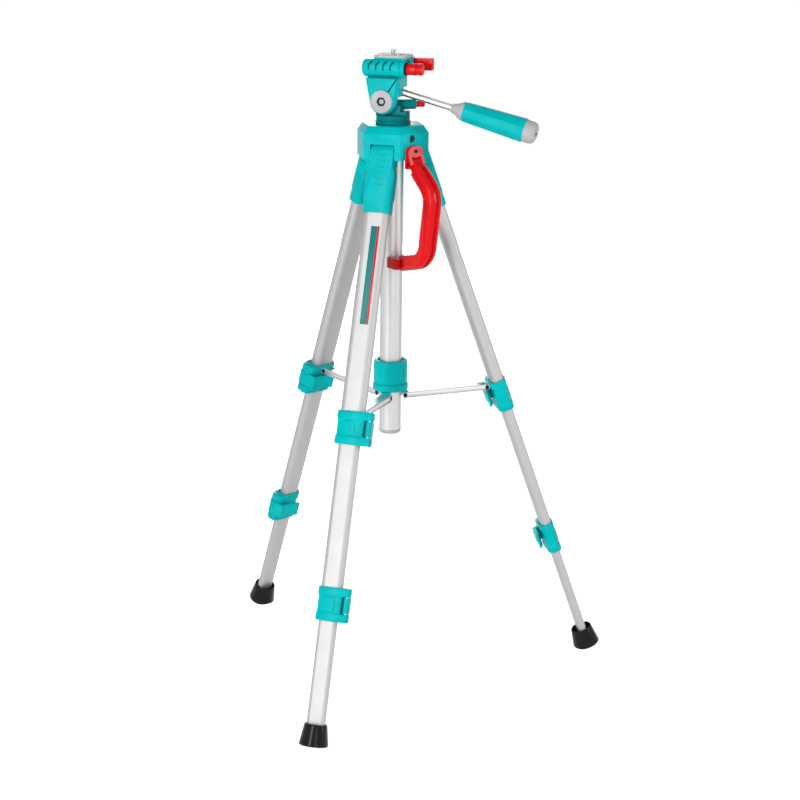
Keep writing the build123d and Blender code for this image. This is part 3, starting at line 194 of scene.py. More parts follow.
def block(name, corner, *rings, steps=6):
    """Rounded rectangle drawn up through its rings."""
    height, width, depth = rings[0]
    bpy.ops.object.select_all(action="DESELECT")
    bpy.ops.mesh.primitive_plane_add(size=1, location=(0, 0, height))
    piece = bpy.context.object
    piece.name = name
    piece.scale = (width, depth, 1)
    bpy.ops.object.transform_apply(location=True, rotation=True, scale=True)
    bpy.ops.object.mode_set(mode="EDIT")
    bpy.ops.mesh.select_all(action="SELECT")
    bpy.ops.mesh.bevel(offset=corner, segments=steps, affect="VERTICES")
    bpy.ops.mesh.select_all(action="SELECT")
    bpy.ops.mesh.remove_doubles(threshold=0.002)
    bpy.ops.mesh.select_all(action="SELECT")
    drawn_through(rings)
    closed_up()
    return piece


def turning(name, *rings, sides=64):
    """Disc drawn up through its rings; a ring is its height and radius."""
    height, radius = rings[0]
    bpy.ops.object.select_all(action="DESELECT")
    bpy.ops.mesh.primitive_circle_add(
        vertices=sides, radius=radius, fill_type="NGON", location=(0, 0, height)
    )
    piece = bpy.context.object
    piece.name = name
    bpy.ops.object.transform_apply(location=True, rotation=True, scale=True)
    bpy.ops.object.mode_set(mode="EDIT")
    bpy.ops.mesh.select_all(action="SELECT")
    drawn_through([(up, reach, reach) for up, reach in rings])
    closed_up()
    return piece


def moved(piece, place):
    """Move a piece and keep its place in its mesh."""
    alone(piece)
    piece.matrix_world = place
    bpy.ops.object.transform_apply(location=True, rotation=True, scale=True)
    return piece


def set_in(piece, place):
    """Move a finished piece from millimetres to its place on the tripod."""
    return moved(piece, Matrix.Scale(0.001, 4) @ place)


def twin(piece, name):
    alone(piece)
    bpy.ops.object.duplicate(linked=False)
    copy = bpy.context.object
    copy.name = name
    return copy


def combined(piece, tool, how):
    alone(piece)
    step = piece.modifiers.new("combined", "BOOLEAN")
    step.operation = how
    step.solver = "EXACT"
    step.object = tool
    bpy.ops.object.modifier_apply(modifier=step.name)
    bpy.data.objects.remove(tool)
    return piece


def cut(piece, *tools):
    for tool in tools:
        combined(piece, tool, "DIFFERENCE")
    return piece


def grown(piece, *tools):
    for tool in tools:
        combined(piece, tool, "UNION")
    return piece


def joined(piece, *others):
    """Several shells as one piece."""
    alone(piece)
    for other in others:
        other.select_set(True)
    bpy.ops.object.join()
    return piece


def eased(piece, width, steps=2, angle=35):
    """Round every edge that turns by more than an angle."""
    alone(piece)
    step = piece.modifiers.new("eased", "BEVEL")
    step.width = width
    step.segments = steps
    step.limit_method = "ANGLE"
    step.angle_limit = radians(angle)
    bpy.ops.object.modifier_apply(modifier=step.name)
    return piece


def from_solid(node, name, edge, steps=2, angle=32):
    """Copy of one solid's mesh, merged, with its edges eased; edge in millimetres."""
    alone(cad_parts[node])
    bpy.ops.object.duplicate(linked=False)
    piece = bpy.context.object
    piece.name = name
    piece.parent = None
    for key in list(piece.keys()):
        del piece[key]
    bpy.ops.object.mode_set(mode="EDIT")
    bpy.ops.mesh.select_all(action="SELECT")
    bpy.ops.mesh.customdata_custom_splitnormals_clear()
    bpy.ops.mesh.remove_doubles(threshold=0.000002)
    bpy.ops.mesh.dissolve_limited(angle_limit=radians(0.4))
    bpy.ops.object.mode_set(mode="OBJECT")
    if edge:
        eased(piece, edge / 1000, steps, angle)
    return piece


# Finishes
def started(name):
    finish = bpy.data.materials.new(name)
    finish.use_nodes = True
    tree = finish.node_tree
    where = tree.nodes.new("ShaderNodeTexCoord")
    return finish, tree, tree.nodes["Principled BSDF"], where.outputs["Object"]


def noise(tree, place, scale, detail=2.0):
    made = tree.nodes.new("ShaderNodeTexNoise")
    made.inputs["Scale"].default_value = scale
    made.inputs["Detail"].default_value = detail
    tree.links.new(place, made.inputs["Vector"])
    return made.outputs["Fac"]


def spread(tree, value, low, high, start=0.3, end=0.7):
    made = tree.nodes.new("ShaderNodeMapRange")
    made.inputs["From Min"].default_value = start
    made.inputs["From Max"].default_value = end
    made.inputs["To Min"].default_value = low
    made.inputs["To Max"].default_value = high
    tree.links.new(value, made.inputs["Value"])
    return made.outputs["Result"]


def shades(tree, value, dark, light, start=0.3, end=0.7):
    made = tree.nodes.new("ShaderNodeValToRGB")
    made.color_ramp.elements[0].position = start
    made.color_ramp.elements[0].color = (*dark, 1)
    made.color_ramp.elements[1].position = end
    made.color_ramp.elements[1].color = (*light, 1)
    tree.links.new(value, made.inputs["Fac"])
    return made.outputs["Color"]


def bumped(tree, shader, value, strength, depth):
    made = tree.nodes.new("ShaderNodeBump")
    made.inputs["Strength"].default_value = strength
    made.inputs["Distance"].default_value = depth
    tree.links.new(value, made.inputs["Height"])
    tree.links.new(made.outputs["Normal"], shader.inputs["Normal"])


def moulded_plastic(name, colour, gloss, grain=0.12, sheen=0.3):
    """Moulded plastic: faint flow marks, a fine spark grain, paler rubbed edges, and painted shade in its
    slits, grooves and recesses.
    """
    finish, tree, shader, place = started(name)
    dark = tuple(c * 0.9 for c in colour)
    light = tuple(min(1.0, c * 1.06) for c in colour)
    body = shades(tree, noise(tree, place, 42.0, 3.0), dark, light)
    rubbed = tree.nodes.new("ShaderNodeMix")
    rubbed.data_type = "RGBA"
    shape = tree.nodes.new("ShaderNodeNewGeometry")
    edge = spread(tree, shape.outputs["Pointiness"], 0.0, 0.3, 0.53, 0.66)
    tree.links.new(edge, rubbed.inputs["Factor"])
    tree.links.new(body, rubbed.inputs["A"])
    rubbed.inputs["B"].default_value = (*(min(1.0, c * 1.25 + 0.015) for c in colour), 1)
    # Painted shade: ambient occlusion within the piece darkens the colour in slits, grooves, notches and
    # recesses, where shade falls.
    painted_shade_ao = tree.nodes.new("ShaderNodeAmbientOcclusion")
    painted_shade_ao.samples = 6
    painted_shade_ao.only_local = True
    painted_shade_ao.inputs["Distance"].default_value = 0.004
    sunk = tree.nodes.new("ShaderNodeMix")
    sunk.data_type = "RGBA"
    tree.links.new(spread(tree, painted_shade_ao.outputs["AO"], 0.65, 0.0, 0.3, 0.7), sunk.inputs["Factor"])
    tree.links.new(rubbed.outputs["Result"], sunk.inputs["A"])
    sunk.inputs["B"].default_value = (*(c * 0.12 for c in colour), 1)
    tree.links.new(sunk.outputs["Result"], shader.inputs["Base Color"])
    shine = spread(tree, noise(tree, place, 190.0), gloss - 0.04, gloss + 0.07)
    tree.links.new(shine, shader.inputs["Roughness"])
    bumped(tree, shader, noise(tree, place, 2600.0, 1.0), grain, 0.00012)
    shader.inputs["Specular IOR Level"].default_value = sheen
    return finish


def drawn_metal(name, colour, rough, turn=None, metallic=1.0, lines=0.1, sheen=0.5):
    """Drawn metal: long fine lines that run along the piece."""
    finish, tree, shader, place = started(name)
    if turn is not None:
        level = tree.nodes.new("ShaderNodeMapping")
        level.inputs["Rotation"].default_value = turn.to_3x3().inverted().to_euler()
        tree.links.new(place, level.inputs["Vector"])
        place = level.outputs["Vector"]
    long = tree.nodes.new("ShaderNodeMapping")
    long.inputs["Scale"].default_value = (1.0, 1.0, 0.012)
    tree.links.new(place, long.inputs["Vector"])
    streaks = noise(tree, long.outputs["Vector"], 1500.0, 3.0)
    dark = tuple(c * 0.93 for c in colour)
    tree.links.new(shades(tree, streaks, dark, colour), shader.inputs["Base Color"])
    cloud = noise(tree, place, 60.0, 3.0)
    blend = tree.nodes.new("ShaderNodeMath")
    blend.operation = "MULTIPLY_ADD"
    blend.inputs[1].default_value = 0.5
    tree.links.new(streaks, blend.inputs[0])
    half = spread(tree, cloud, 0.0, 0.5)
    tree.links.new(half, blend.inputs[2])
    dull = spread(tree, blend.outputs[0], rough - 0.02, rough + 0.02, 0.2, 0.8)
    tree.links.new(dull, shader.inputs["Roughness"])
    shader.inputs["Metallic"].default_value = metallic
    shader.inputs["Specular IOR Level"].default_value = sheen
    bumped(tree, shader, streaks, lines, 0.00006)
    return finish


def black_rubber_finish():
    """Moulded rubber: a soft shine, with a dusty bloom and a pebbled skin."""
    finish, tree, shader, place = started("foot rubber")
    tree.links.new(
        shades(tree, noise(tree, place, 55.0, 4.0), (0.004, 0.004, 0.0045), (0.009, 0.009, 0.0095)),
        shader.inputs["Base Color"],
    )
    tree.links.new(spread(tree, noise(tree, place, 260.0), 0.16, 0.25), shader.inputs["Roughness"])
    bumped(tree, shader, noise(tree, place, 1700.0, 2.0), 0.07, 0.0001)
    shader.inputs["Specular IOR Level"].default_value = 0.15
    return finish


TEAL = moulded_plastic("teal moulding", (0.0, 0.59, 0.605), 0.3, sheen=0.06)
# Painted shade: a darker copy of the teal moulding, for the pan base under the head and the column lock ring
# under the neck, where shade falls.
PAINTED_SHADE_TEAL = moulded_plastic("painted shade teal moulding", (0.0, 0.22, 0.232), 0.3, sheen=0.06)
RED = moulded_plastic("red moulding", (0.84, 0.002, 0.006), 0.22, sheen=0.18)
# Painted highlight: a paler red for the bracket's outward flat face, standing in for a lamp's shine on it.
PAINTED_HIGHLIGHT_RED = moulded_plastic("painted highlight red face", (0.86, 0.11, 0.115), 0.3, sheen=0.18)
GREY = moulded_plastic("grey moulding", (0.56, 0.55, 0.57), 0.42)
CHROME = drawn_metal("chromed rod", (0.5, 0.5, 0.5), 0.36, rod_place(), lines=0.03)
STEEL = drawn_metal("plain steel", (0.62, 0.62, 0.64), 0.28)
BLACK = drawn_metal("blackened steel", (0.012, 0.012, 0.013), 0.5, metallic=0.1, sheen=0.12)
RUBBER = black_rubber_finish()
COLUMN_METAL = drawn_metal("column aluminium", (0.58, 0.58, 0.58), 0.46, metallic=0.8)
LEG_METAL = {
    leg: drawn_metal(f"leg aluminium {leg}", (0.46, 0.46, 0.46), 0.57, leg_place(angle), metallic=0.8)
    for leg, angle in LEGS.items()
}
ARM_METAL = {
    leg: drawn_metal(
        f"sheet aluminium {leg}", (0.64, 0.64, 0.65), 0.4, arm_place(angle) @ turned(90, "Y"), metallic=0.8
    )
    for leg, angle in LEGS.items()
}
FILM = moulded_plastic("label film", (0.0, 0.22, 0.23), 0.4, 0.04)


def fitted(piece, body, finish, *nodes):
    """Finish a piece and hang it on its body."""
    alone(piece)
    bpy.ops.object.shade_smooth_by_angle(angle=radians(34))
    piece.data.materials.clear()
    piece.data.materials.append(finish)
    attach(piece, body)
    if nodes:
        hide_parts(*nodes)
    return piece


# Legs
def leg_tube(name, size, start, end):
    """Flat-oval tube with a 1 mm wall."""
    width, depth = size
    tube = block(name, depth / 2, (start, width, depth), (end, width, depth), steps=14)
    inside = (width - 2, depth - 2)
    way = block("way", depth / 2 - 1, (start - 5, *inside), (end + 5, *inside), steps=14)
    return cut(tube, way)


def rubber_foot():
    """Tapered cup with rounded rims and a hollow round the tube."""
    return turning(
        "rubber_foot",
        (3.0, 13.6), (3.4, 14.8), (4.6, 15.45), (6.0, 15.28), (14.0, 13.95), (24.4, 12.24),
        (25.4, 11.95), (25.9, 11.5), (26.0, 11.2), (25.6, 10.95), (20.5, 10.7),
    )


def lock_collar(name, tube, inner):
    """Rounded collar that swells outward: two bands, a waist with a panel, a lever window and a cup."""
    width, depth = tube
    left, right = width / 2 + 2.6, width / 2 + 9.8
    wide, deep = left + right, depth + 5.2
    collar = block(name, 7.4, *((up, wide - less, deep - less) for up, less in COLLAR_PROFILE), steps=12)
    moved(collar, shifted(x=(right - left) / 2))
    swelling = [(up, COLLAR_SWELL - less / 2) for up, less in COLLAR_PROFILE]
    below, above = (-1.0, swelling[0][1]), (LOCK_HEIGHT + 1.0, swelling[-1][1])
    swell = turning("swell", below, *swelling, above, sides=256)
    combined(collar, moved(swell, shifted(3.0, COLLAR_SWELL - deep / 2)), "INTERSECT")
    gap = right - left + 6
    window = block("window", 0.5, (8.8, gap, 2 * deep), (26.6, gap, 2 * deep), steps=3)
    cut(collar, moved(window, shifted(x=left - 0.9 + gap / 2)))
    panel = block(
        "panel", 3.0,
        (-0.5, 13.2, 16.0), (0.4, 13.2, 16.0), (0.7, 12.6, 15.5), (0.95, 11.6, 14.6), (1.15, 10.2, 13.4),
        (1.28, 8.4, 11.8), (1.34, 6.0, 9.6),
    )
    moved(panel, shifted(0, -deep / 2 + 1.5, LOCK_HEIGHT / 2) @ turned(-3.8, "Z") @ turned(90, "X"))
    grown(collar, panel)
    bores = (
        ("seat", depth / 2 + 0.02, 7.6, 50, (width + 0.1, depth + 0.1)),
        ("cup", depth / 2 + 0.8, 32.6, 50, (width + 1.8, depth + 1.8)),
        ("way", inner[1] / 2 + 0.3, -5, 20, (inner[0] + 0.6, inner[1] + 0.6)),
    )
    for bore, corner, low, high, size in bores:
        cut(collar, block(bore, corner, (low, *size), (high, *size), steps=14))
    return collar


def spreader_lug():
    """Tongue on the upper collar that takes the outer end of a spreader arm."""
    lug = block(
        "spreader_lug", 1.0,
        (0.0, 7.6, 5.0), (0.4, 8.0, 5.8), (6.6, 8.0, 5.8), (8.4, 7.6, 4.6), (9.2, 7.0, 3.0),
    )
    return moved(lug, shifted(0, 7.4, LUG_UP - UPPER_LOCK_BASE) @ turned(-90, "X"))


def leg_socket():
    """Moulded socket with a knuckle at its top and a barred panel on its outer side."""
    socket = block(
        "leg_socket", 6.0,
        (562.0, 29.4, 17.4), (562.5, 30.2, 18.3), (576.4, 30.5, 18.6), (577.3, 31.6, 19.6),
        (602.0, 31.6, 19.6), (608.8, 29.6, 19.0), (611.0, 27.0, 17.4),
        steps=8,
    )
    neck = block("neck", 1.0, (600.0, 25.4, 19.0), (HINGE_UP, 25.4, 19.0), steps=3)
    knuckle = turning("knuckle", (-12.7, 9.1), (-12.3, 9.5), (12.3, 9.5), (12.7, 9.1))
    moved(knuckle, shifted(0, 0, HINGE_UP) @ turned(90, "Y"))
    grown(socket, neck, knuckle)
    for row in range(6):
        bar = block("bar", 0.55, (0.0, 8.6, 1.7), (1.2, 8.6, 1.7), (1.6, 7.9, 1.0), steps=3)
        moved(bar, shifted(0, -8.9, BARS_UP + BAR_STEP * row) @ turned(90, "X"))
        joined(socket, bar)
    seat = block("seat", 7.35, (555, 27.1, 14.8), (598, 27.1, 14.8), steps=14)
    return cut(socket, seat)


def label_strip(name, wide, across):
    """Plain film strip on the outer face of the front upper tube."""
    long = LABEL_LENGTH
    strip = block(name, 0.5, (0.0, wide, long), (0.1, wide, long), (0.16, wide - 0.2, long - 0.2), steps=3)
    return moved(strip, shifted(across, -7.3, LABEL_UP) @ turned(90, "X"))


tubes = {
    "lower_tube": (leg_tube("drawn_lower_tube", LOWER_TUBE, 8.0, 308.0), "leg_lower"),
    "middle_tube": (leg_tube("drawn_middle_tube", MIDDLE_TUBE, 140.4, 440.4), "leg_middle"),
    "upper_tube": (leg_tube("drawn_upper_tube", UPPER_TUBE, 324.6, 598.0), "leg"),
}
foot = rubber_foot()
upper_collar = joined(lock_collar("upper_collar", UPPER_TUBE, MIDDLE_TUBE), spreader_lug())
lower_collar = lock_collar("lower_collar", MIDDLE_TUBE, LOWER_TUBE)
socket = leg_socket()
for leg, angle in LEGS.items():
    place = leg_place(angle)
    for node, (tube, body) in tubes.items():
        piece = set_in(twin(tube, f"{tube.name}_{leg}"), place)
        fitted(piece, f"{body}_{leg}", LEG_METAL[leg], f"{node}_{leg}")
    piece = set_in(twin(foot, f"rubber_foot_{leg}"), place)
    sliced(piece, (0, 0, 0.00002), (0, 0, 1), clear_inner=True)
    fitted(piece, f"leg_lower_{leg}", RUBBER, f"foot_{leg}")
    piece = set_in(twin(upper_collar, f"upper_collar_{leg}"), place @ shifted(z=UPPER_LOCK_BASE))
    fitted(piece, f"leg_{leg}", TEAL, f"upper_lock_{leg}")
    piece = set_in(twin(lower_collar, f"lower_collar_{leg}"), place @ shifted(z=LOWER_LOCK_BASE))
    fitted(piece, f"leg_middle_{leg}", TEAL, f"lower_lock_{leg}")
    piece = set_in(twin(socket, f"leg_socket_moulding_{leg}"), place)
    fitted(piece, f"leg_{leg}", TEAL, f"leg_socket_{leg}")
    for row in ("upper", "lower"):
        lever = from_solid(f"{row}_lever_{leg}", f"{row}_flip_lever_{leg}", 0)
        corner, slope = LEVER_CORNERS[row]
        sliced(lever, place @ Vector(corner) / 1000, place.to_3x3() @ Vector(slope), clear_outer=True)
        eased(lever, 0.0009, 3, 32)
        fitted(lever, f"{row}_lever_{leg}", TEAL, f"{row}_lever_{leg}")
for spare in [tube for tube, body in tubes.values()] + [foot, upper_collar, lower_collar, socket]:
    bpy.data.objects.remove(spare)
strips = (("label_strip", 7.0, 1.2, FILM), ("label_edge", 2.2, 5.9, RED))
for name, wide, across, finish in strips:
    fitted(set_in(label_strip(name, wide, across), leg_place(LEGS["front"])), "leg_front", finish)


# Column and spreader
def round_tube(name, radius, wall, start, end):
    """Tube with the outer edges of its ends eased."""
    ease = 0.3
    small = radius - ease
    tube = turning(name, (start, small), (start + ease, radius), (end - ease, radius), (end, small))
    bore = turning("bore", (start - 5, radius - wall), (end + 5, radius - wall))
    return cut(tube, bore)


def spreader_collar():
    """Sliding collar: a flared foot, a seam, a cup at the top and three lugs."""
    collar = turning(
        "spreader_collar_moulding",
        (325.0, 18.1), (325.5, 19.1), (326.3, 19.4), (331.4, 19.4), (332.4, 18.8), (332.8, 17.8),
        (333.6, 17.8), (334.0, 18.4), (345.0, 18.6), (352.0, 18.6), (357.0, 18.3), (358.3, 17.7),
        (358.8, 16.8), (358.8, 14.8), (354.3, 14.2),
        sides=96,
    )
    for angle in LEGS.values():
        lug = block("lug", 1.6, (-4.7, 4.6, 7.0), (-4.3, 4.8, 7.4), (4.3, 4.8, 7.4), (4.7, 4.6, 7.0))
        pin = outward(angle, ARM_PIN[0]) + Vector((0, 0, 320.8))
        grown(collar, moved(lug, placing(pin, outward(angle, 1), outward(angle - 90, 1))))
        rib = block("rib", 0.7, (0.0, 1.6, 20.0), (0.9, 1.6, 20.0), (1.2, 1.0, 19.4), steps=3)
        side = outward(angle + 60, 17.4) + Vector((0, 0, 345.5))
        grown(collar, moved(rib, placing(side, outward(angle + 150, 1), outward(angle + 60, 1))))
    return cut(collar, turning("bore", (310, 12.3), (380, 12.3)))


def edge_ends(edge):
    return [vert.co for vert in edge.verts]


def along_fold(edge):
    """Long top edge of the channel, where the sheet is folded."""
    start, end = edge_ends(edge)
    return min(start.z, end.z) > 2.9 and abs(start.x - end.x) > 50


def at_flange_corner(edge):
    """Edge across the sheet at a corner of a flange's end."""
    ends = edge_ends(edge)
    at_end = all(end.x < -2.9 or end.x > ARM_REACH + 2.9 for end in ends)
    level = abs(ends[0].z - ends[1].z) < 0.01
    return at_end and level and all(abs(abs(end.z) - 3) < 0.05 for end in ends)


def spreader_arm():
    """Folded sheet channel, open below, its web cut back at both pins."""
    bpy.ops.object.select_all(action="DESELECT")
    bpy.ops.mesh.primitive_cube_add(size=1, location=(ARM_REACH / 2, 0, 0))
    arm = bpy.context.object
    arm.name = "spreader_arm_channel"
    arm.scale = (ARM_REACH + 6, 12.6, 6)
    bpy.ops.object.transform_apply(location=True, rotation=True, scale=True)
    bpy.ops.object.mode_set(mode="EDIT")
    chosen(arm, "FACE", lambda face: face.normal.z < -0.5 or abs(face.normal.x) > 0.5)
    bpy.ops.mesh.delete(type="FACE")
    chosen(arm, "EDGE", along_fold)
    bpy.ops.mesh.bevel(offset=1.5, segments=5, affect="EDGES")
    bpy.ops.object.mode_set(mode="OBJECT")
    alone(arm)
    sheet = arm.modifiers.new("sheet", "SOLIDIFY")
    sheet.thickness = 1.2
    sheet.offset = -1
    bpy.ops.object.modifier_apply(modifier=sheet.name)
    for start, end in ((-20.0, 4.6), (ARM_REACH - 9.4, ARM_REACH + 20)):
        notch = block("notch", 1.5, (-9.0, end - start, 10.1), (9.0, end - start, 10.1), steps=4)
        cut(arm, moved(notch, shifted(x=(start + end) / 2)))
    alone(arm)
    bpy.ops.object.mode_set(mode="EDIT")
    chosen(arm, "EDGE", at_flange_corner)
    bpy.ops.mesh.bevel(offset=2.2, segments=5, affect="EDGES")
    bpy.ops.object.mode_set(mode="OBJECT")
    return arm


def arm_rivets():
    """Black rivet heads on both flanges at both pins."""
    heads = []
    for along in (0.0, ARM_REACH):
        for side in (-90, 90):
            head = turning("rivet", (-0.3, 2.3), (0.3, 2.3), (0.6, 1.9), (0.8, 1.1), (0.55, 0.8), sides=28)
            reach = 6.3 if side < 0 else -6.3
            heads.append(moved(head, shifted(along, reach, 0) @ turned(side, "X")))
    rivets = joined(*heads)
    rivets.name = "arm_rivets"
    return rivets


sleeve = set_in(round_tube("column_sleeve_tube", 12.0, 1.0, 280.0, 611.0), Matrix())
fitted(sleeve, "crown_group", COLUMN_METAL, "column_sleeve")
column = set_in(round_tube("centre_column_tube", 10.7, 1.4, 290.9, 624.9), Matrix())
fitted(column, "centre_column", COLUMN_METAL, "centre_column")
cap = turning(
    "column_end_plug",
    (275.5, 7.6), (275.5, 10.0), (275.9, 11.1), (276.8, 11.75), (278.0, 12.0), (279.7, 12.0),
    (280.0, 11.7), (280.0, 10.9), (289.0, 10.8),
)
fitted(set_in(cap, Matrix()), "crown_group", GREY, "column_end_cap")
fitted(set_in(spreader_collar(), Matrix()), "spreader_collar", TEAL, "spreader_collar")
arm = spreader_arm()
rivets = arm_rivets()
for leg, angle in LEGS.items():
    place = arm_place(angle)
    piece = set_in(twin(arm, f"spreader_arm_channel_{leg}"), place)
    fitted(piece, f"spreader_arm_{leg}", ARM_METAL[leg], f"spreader_arm_{leg}")
    fitted(set_in(twin(rivets, f"arm_rivets_{leg}"), place), f"spreader_arm_{leg}", BLACK)
for spare in (arm, rivets):
    bpy.data.objects.remove(spare)


# Crown and carry handle
def carry_handle():
    """Bent bar with a channel down its outer side, an eye at the top and a clip for the column."""
    hinge, elbow = Vector((39, 0, 579)), Vector((70.3, 0, 550.6))
    corner, end = Vector((60, 0, 478.6)), Vector((23, 0, 470.25))
    finger_gap = Vector((40, 0, 515))
    bend_radius = 23
    channel_start = 46
    down = (elbow - hinge).normalized()
    grip = (corner - elbow).normalized()
    back = (end - corner).normalized()

    def in_channel(face):
        """Flat face on the outer side of the bar."""
        middle = face.calc_center_median()
        outer = (middle - finger_gap).dot(face.normal) > 0
        return len(face.verts) == 4 and abs(face.normal.y) < 0.02 and outer and middle.x > channel_start

    reached = hinge + down * 8.5
    bar = block("carry_handle_bar", 4.8, (0.0, 15.0, 15.0), (0.3, 16.2, 16.2), (1.2, 17.0, 17.0), steps=7)
    moved(bar, placing(reached, (0, 1, 0), down))
    reached += down * 1.2
    bpy.ops.object.mode_set(mode="EDIT")
    chosen(bar, "FACE", lambda face: face.normal.dot(down) > 0.99)
    for bend, before, after, steps in ((elbow, down, grip, 12), (corner, grip, back, 16)):
        turn = before.angle(after)
        lead = bend_radius * tan(turn / 2)
        bpy.ops.mesh.extrude_region_move(TRANSFORM_OT_translate={"value": bend - before * lead - reached})
        centre = bend - before * lead + Vector((before.z, 0, -before.x)) * bend_radius
        bpy.ops.mesh.spin(steps=steps, angle=-turn, center=centre, axis=(0, 1, 0))
        reached = bend + after * lead
    bpy.ops.mesh.extrude_region_move(TRANSFORM_OT_translate={"value": end - reached})
    bpy.ops.mesh.select_all(action="SELECT")
    bpy.ops.mesh.normals_make_consistent(inside=False)
    chosen(bar, "FACE", in_channel)
    bpy.ops.mesh.inset(thickness=1.0, depth=-2.4)
    closed_up()
    eye = turning("eye", (-5.8, 5.2), (-5.4, 5.6), (5.4, 5.6), (5.8, 5.2))
    moved(eye, shifted(*hinge) @ turned(90, "X"))
    tongue = block("tongue", 1.2, (0, 10.2, 11.6), (12, 10.2, 11.6), steps=4)
    moved(tongue, placing(hinge, (down.z, 0, -down.x), down))
    clip = block(
        "clip", 3.0, (464.5, 18.0, 27.0), (465.0, 19.0, 28.0), (475.5, 19.0, 28.0), (476.0, 18.0, 27.0)
    )
    moved(clip, shifted(x=17.5))
    grown(bar, tongue, eye, clip)
    return cut(bar, turning("column", (450, 12.3), (490, 12.3), sides=96))


fitted(from_solid("crown", "crown_moulding", 1.0, 3), "crown_group", TEAL, "crown")
bracket = from_solid("handle_bracket", "handle_bracket_moulding", 0.8, 3)
fitted(bracket, "crown_group", RED, "handle_bracket")
# Faces turned outward along the handle take the paler red: a painted highlight.
bracket.data.materials.append(PAINTED_HIGHLIGHT_RED)
for face in bracket.data.polygons:
    if face.normal.dot(outward(HANDLE_ANGLE, 1)) > 0.9:
        face.material_index = 1
lip = block("bracket_lip", 0.4, (585.0, 4.6, 12.1), (588.0, 4.6, 12.1), steps=3)
fitted(set_in(moved(lip, shifted(x=36.6)), handle_place()), "crown_group", RED)
fitted(from_solid("crown_fasteners", "crown_screws", 0.25), "crown_group", BLACK, "crown_fasteners")
clamp = turning(
    "clamp_screw_head", (34.2, 4.0), (35.0, 4.0), (35.25, 3.7), (35.25, 2.7), (34.3, 2.5), sides=32
)
moved(clamp, placing((0, 0, CLAMP_SCREW_UP), (0, 0, 1), outward(CLAMP_SCREW_ANGLE, 1)))
fitted(set_in(clamp, Matrix()), "crown_group", BLACK)
# The column lock ring takes the darker teal: painted shade from the neck above it.
ring = from_solid("column_lock_ring", "column_lock_ring_moulding", 0.5)
fitted(ring, "column_lock_ring", PAINTED_SHADE_TEAL, "column_lock_ring")
fitted(set_in(carry_handle(), handle_place()), "carry_handle", RED, "carry_handle")


# Pan head
def pan_grip():
    """Eight-sided grip that swells towards its end."""
    grip = turning(
        "pan_grip",
        (71.0, 9.9), (71.8, 10.9), (80.0, 11.35), (100.0, 12.05), (125.0, 12.9), (137.6, 13.3), (139.5, 12.6),
        sides=8,
    )
    moved(grip, turned(22.5, "Z"))
    bpy.ops.object.mode_set(mode="EDIT")
    chosen(grip, "EDGE", lambda edge: abs(edge.verts[0].co.z - edge.verts[1].co.z) > 0.4)
    bpy.ops.mesh.bevel(offset=1.7, segments=4, affect="EDGES")
    closed_up()
    return grip


def cushion(name, corner, low, high, size, ease=0.8):
    """Rounded block with its top and bottom edges eased; size is its place and its two sides."""
    x, y, wide, deep = size
    part = block(
        name, corner,
        (low, wide - 2 * ease, deep - 2 * ease), (low + ease * 0.3, wide - ease * 0.6, deep - ease * 0.6),
        (low + ease, wide, deep), (high - ease, wide, deep),
        (high - ease * 0.3, wide - ease * 0.6, deep - ease * 0.6), (high, wide - 2 * ease, deep - 2 * ease),
    )
    return moved(part, shifted(x, y))


def tilt_body():
    """Tilt body: a bowl-bottomed near cheek, a bridge to the far cheek and a grooved roll along the top."""
    body = block(
        "tilt_body_moulding", 2.2,
        (641.0, 27.0, 9.6), (652.0, 31.4, 9.6), (665.2, 36.6, 9.6), (666.0, 35.2, 8.2),
    )
    moved(body, shifted(-7.4, -12.2))
    bowl = turning(
        "bowl", (7.4, 14.2), (14.4, 14.2), (15.6, 13.9), (16.5, 13.2), (17.0, 12.2), (17.0, 11.0), sides=96
    )
    grown(body, moved(bowl, axle_place()))
    far = turning("far", (-17.0, 7.8), (-16.6, 8.5), (-15.8, 8.8), (-7.4, 8.8))
    grown(body, moved(far, axle_place()))
    grown(body, cushion("far_cheek", 1.2, 641.0, 665.8, (-7.0, 12.2, 17.6, 9.6), 0.5))
    clear = block("clear", 0.6, (628.5, 10.0, 10.6), (655.6, 10.0, 10.6), steps=3)
    cut(body, moved(clear, shifted(4.2, 12.6)))
    grown(body, cushion("bridge", 2.0, 655.5, 665.9, (-3.2, 1.2, 27.4, 31.2)))
    grown(body, cushion("rear_block", 2.6, 646.5, 665.7, (6.9, -4.8, 7.4, 19.6)))
    grown(body, cushion("saddle", 1.6, 659.5, 676.0, (-7.4, -6.0, 35.8, 10.0), 0.5))
    roll = turning(
        "roll",
        (-30.4, 5.9), (-30.25, 6.9), (-29.8, 7.8), (-29.0, 8.65), (-28.0, 9.25), (-26.8, 9.5),
        (10.8, 9.5), (11.4, 9.2), (11.6, 8.6),
        sides=96,
    )
    grown(body, moved(roll, roll_place()))
    for row in range(4):
        groove = block("groove", 0.8, (-3.8, 2.1, 12.0), (2.6, 2.1, 12.0), steps=3)
        moved(groove, turned(8, "Y"))
        hook = block("hook", 0.8, (0.0, 2.1, 12.0), (4.2, 2.1, 12.0), steps=3)
        grown(groove, moved(hook, shifted(x=0.3, z=1.9) @ turned(42, "Y")))
        moved(groove, shifted(-21.6 + 8.0 * row, -18, 678.5))
        core = turning("core", (-40.0, 7.4), (30.0, 7.4), sides=96)
        cut(groove, moved(core, roll_place()))
        cut(body, groove)
    for across, low, lean, long in ((-0.3, 651.8, 34, 15.6), (7.6, 664.2, 66, 6.5)):
        slit = block("slit", 0.6, (0.0, 1.6, 6.0), (long, 1.6, 6.0), steps=3)
        cut(body, moved(slit, shifted(across, -17.2, low) @ turned(lean, "Y")))
    hole = turning("hole", (-9.0, 3.7), (20.0, 3.7))
    return cut(body, moved(hole, rod_place()))


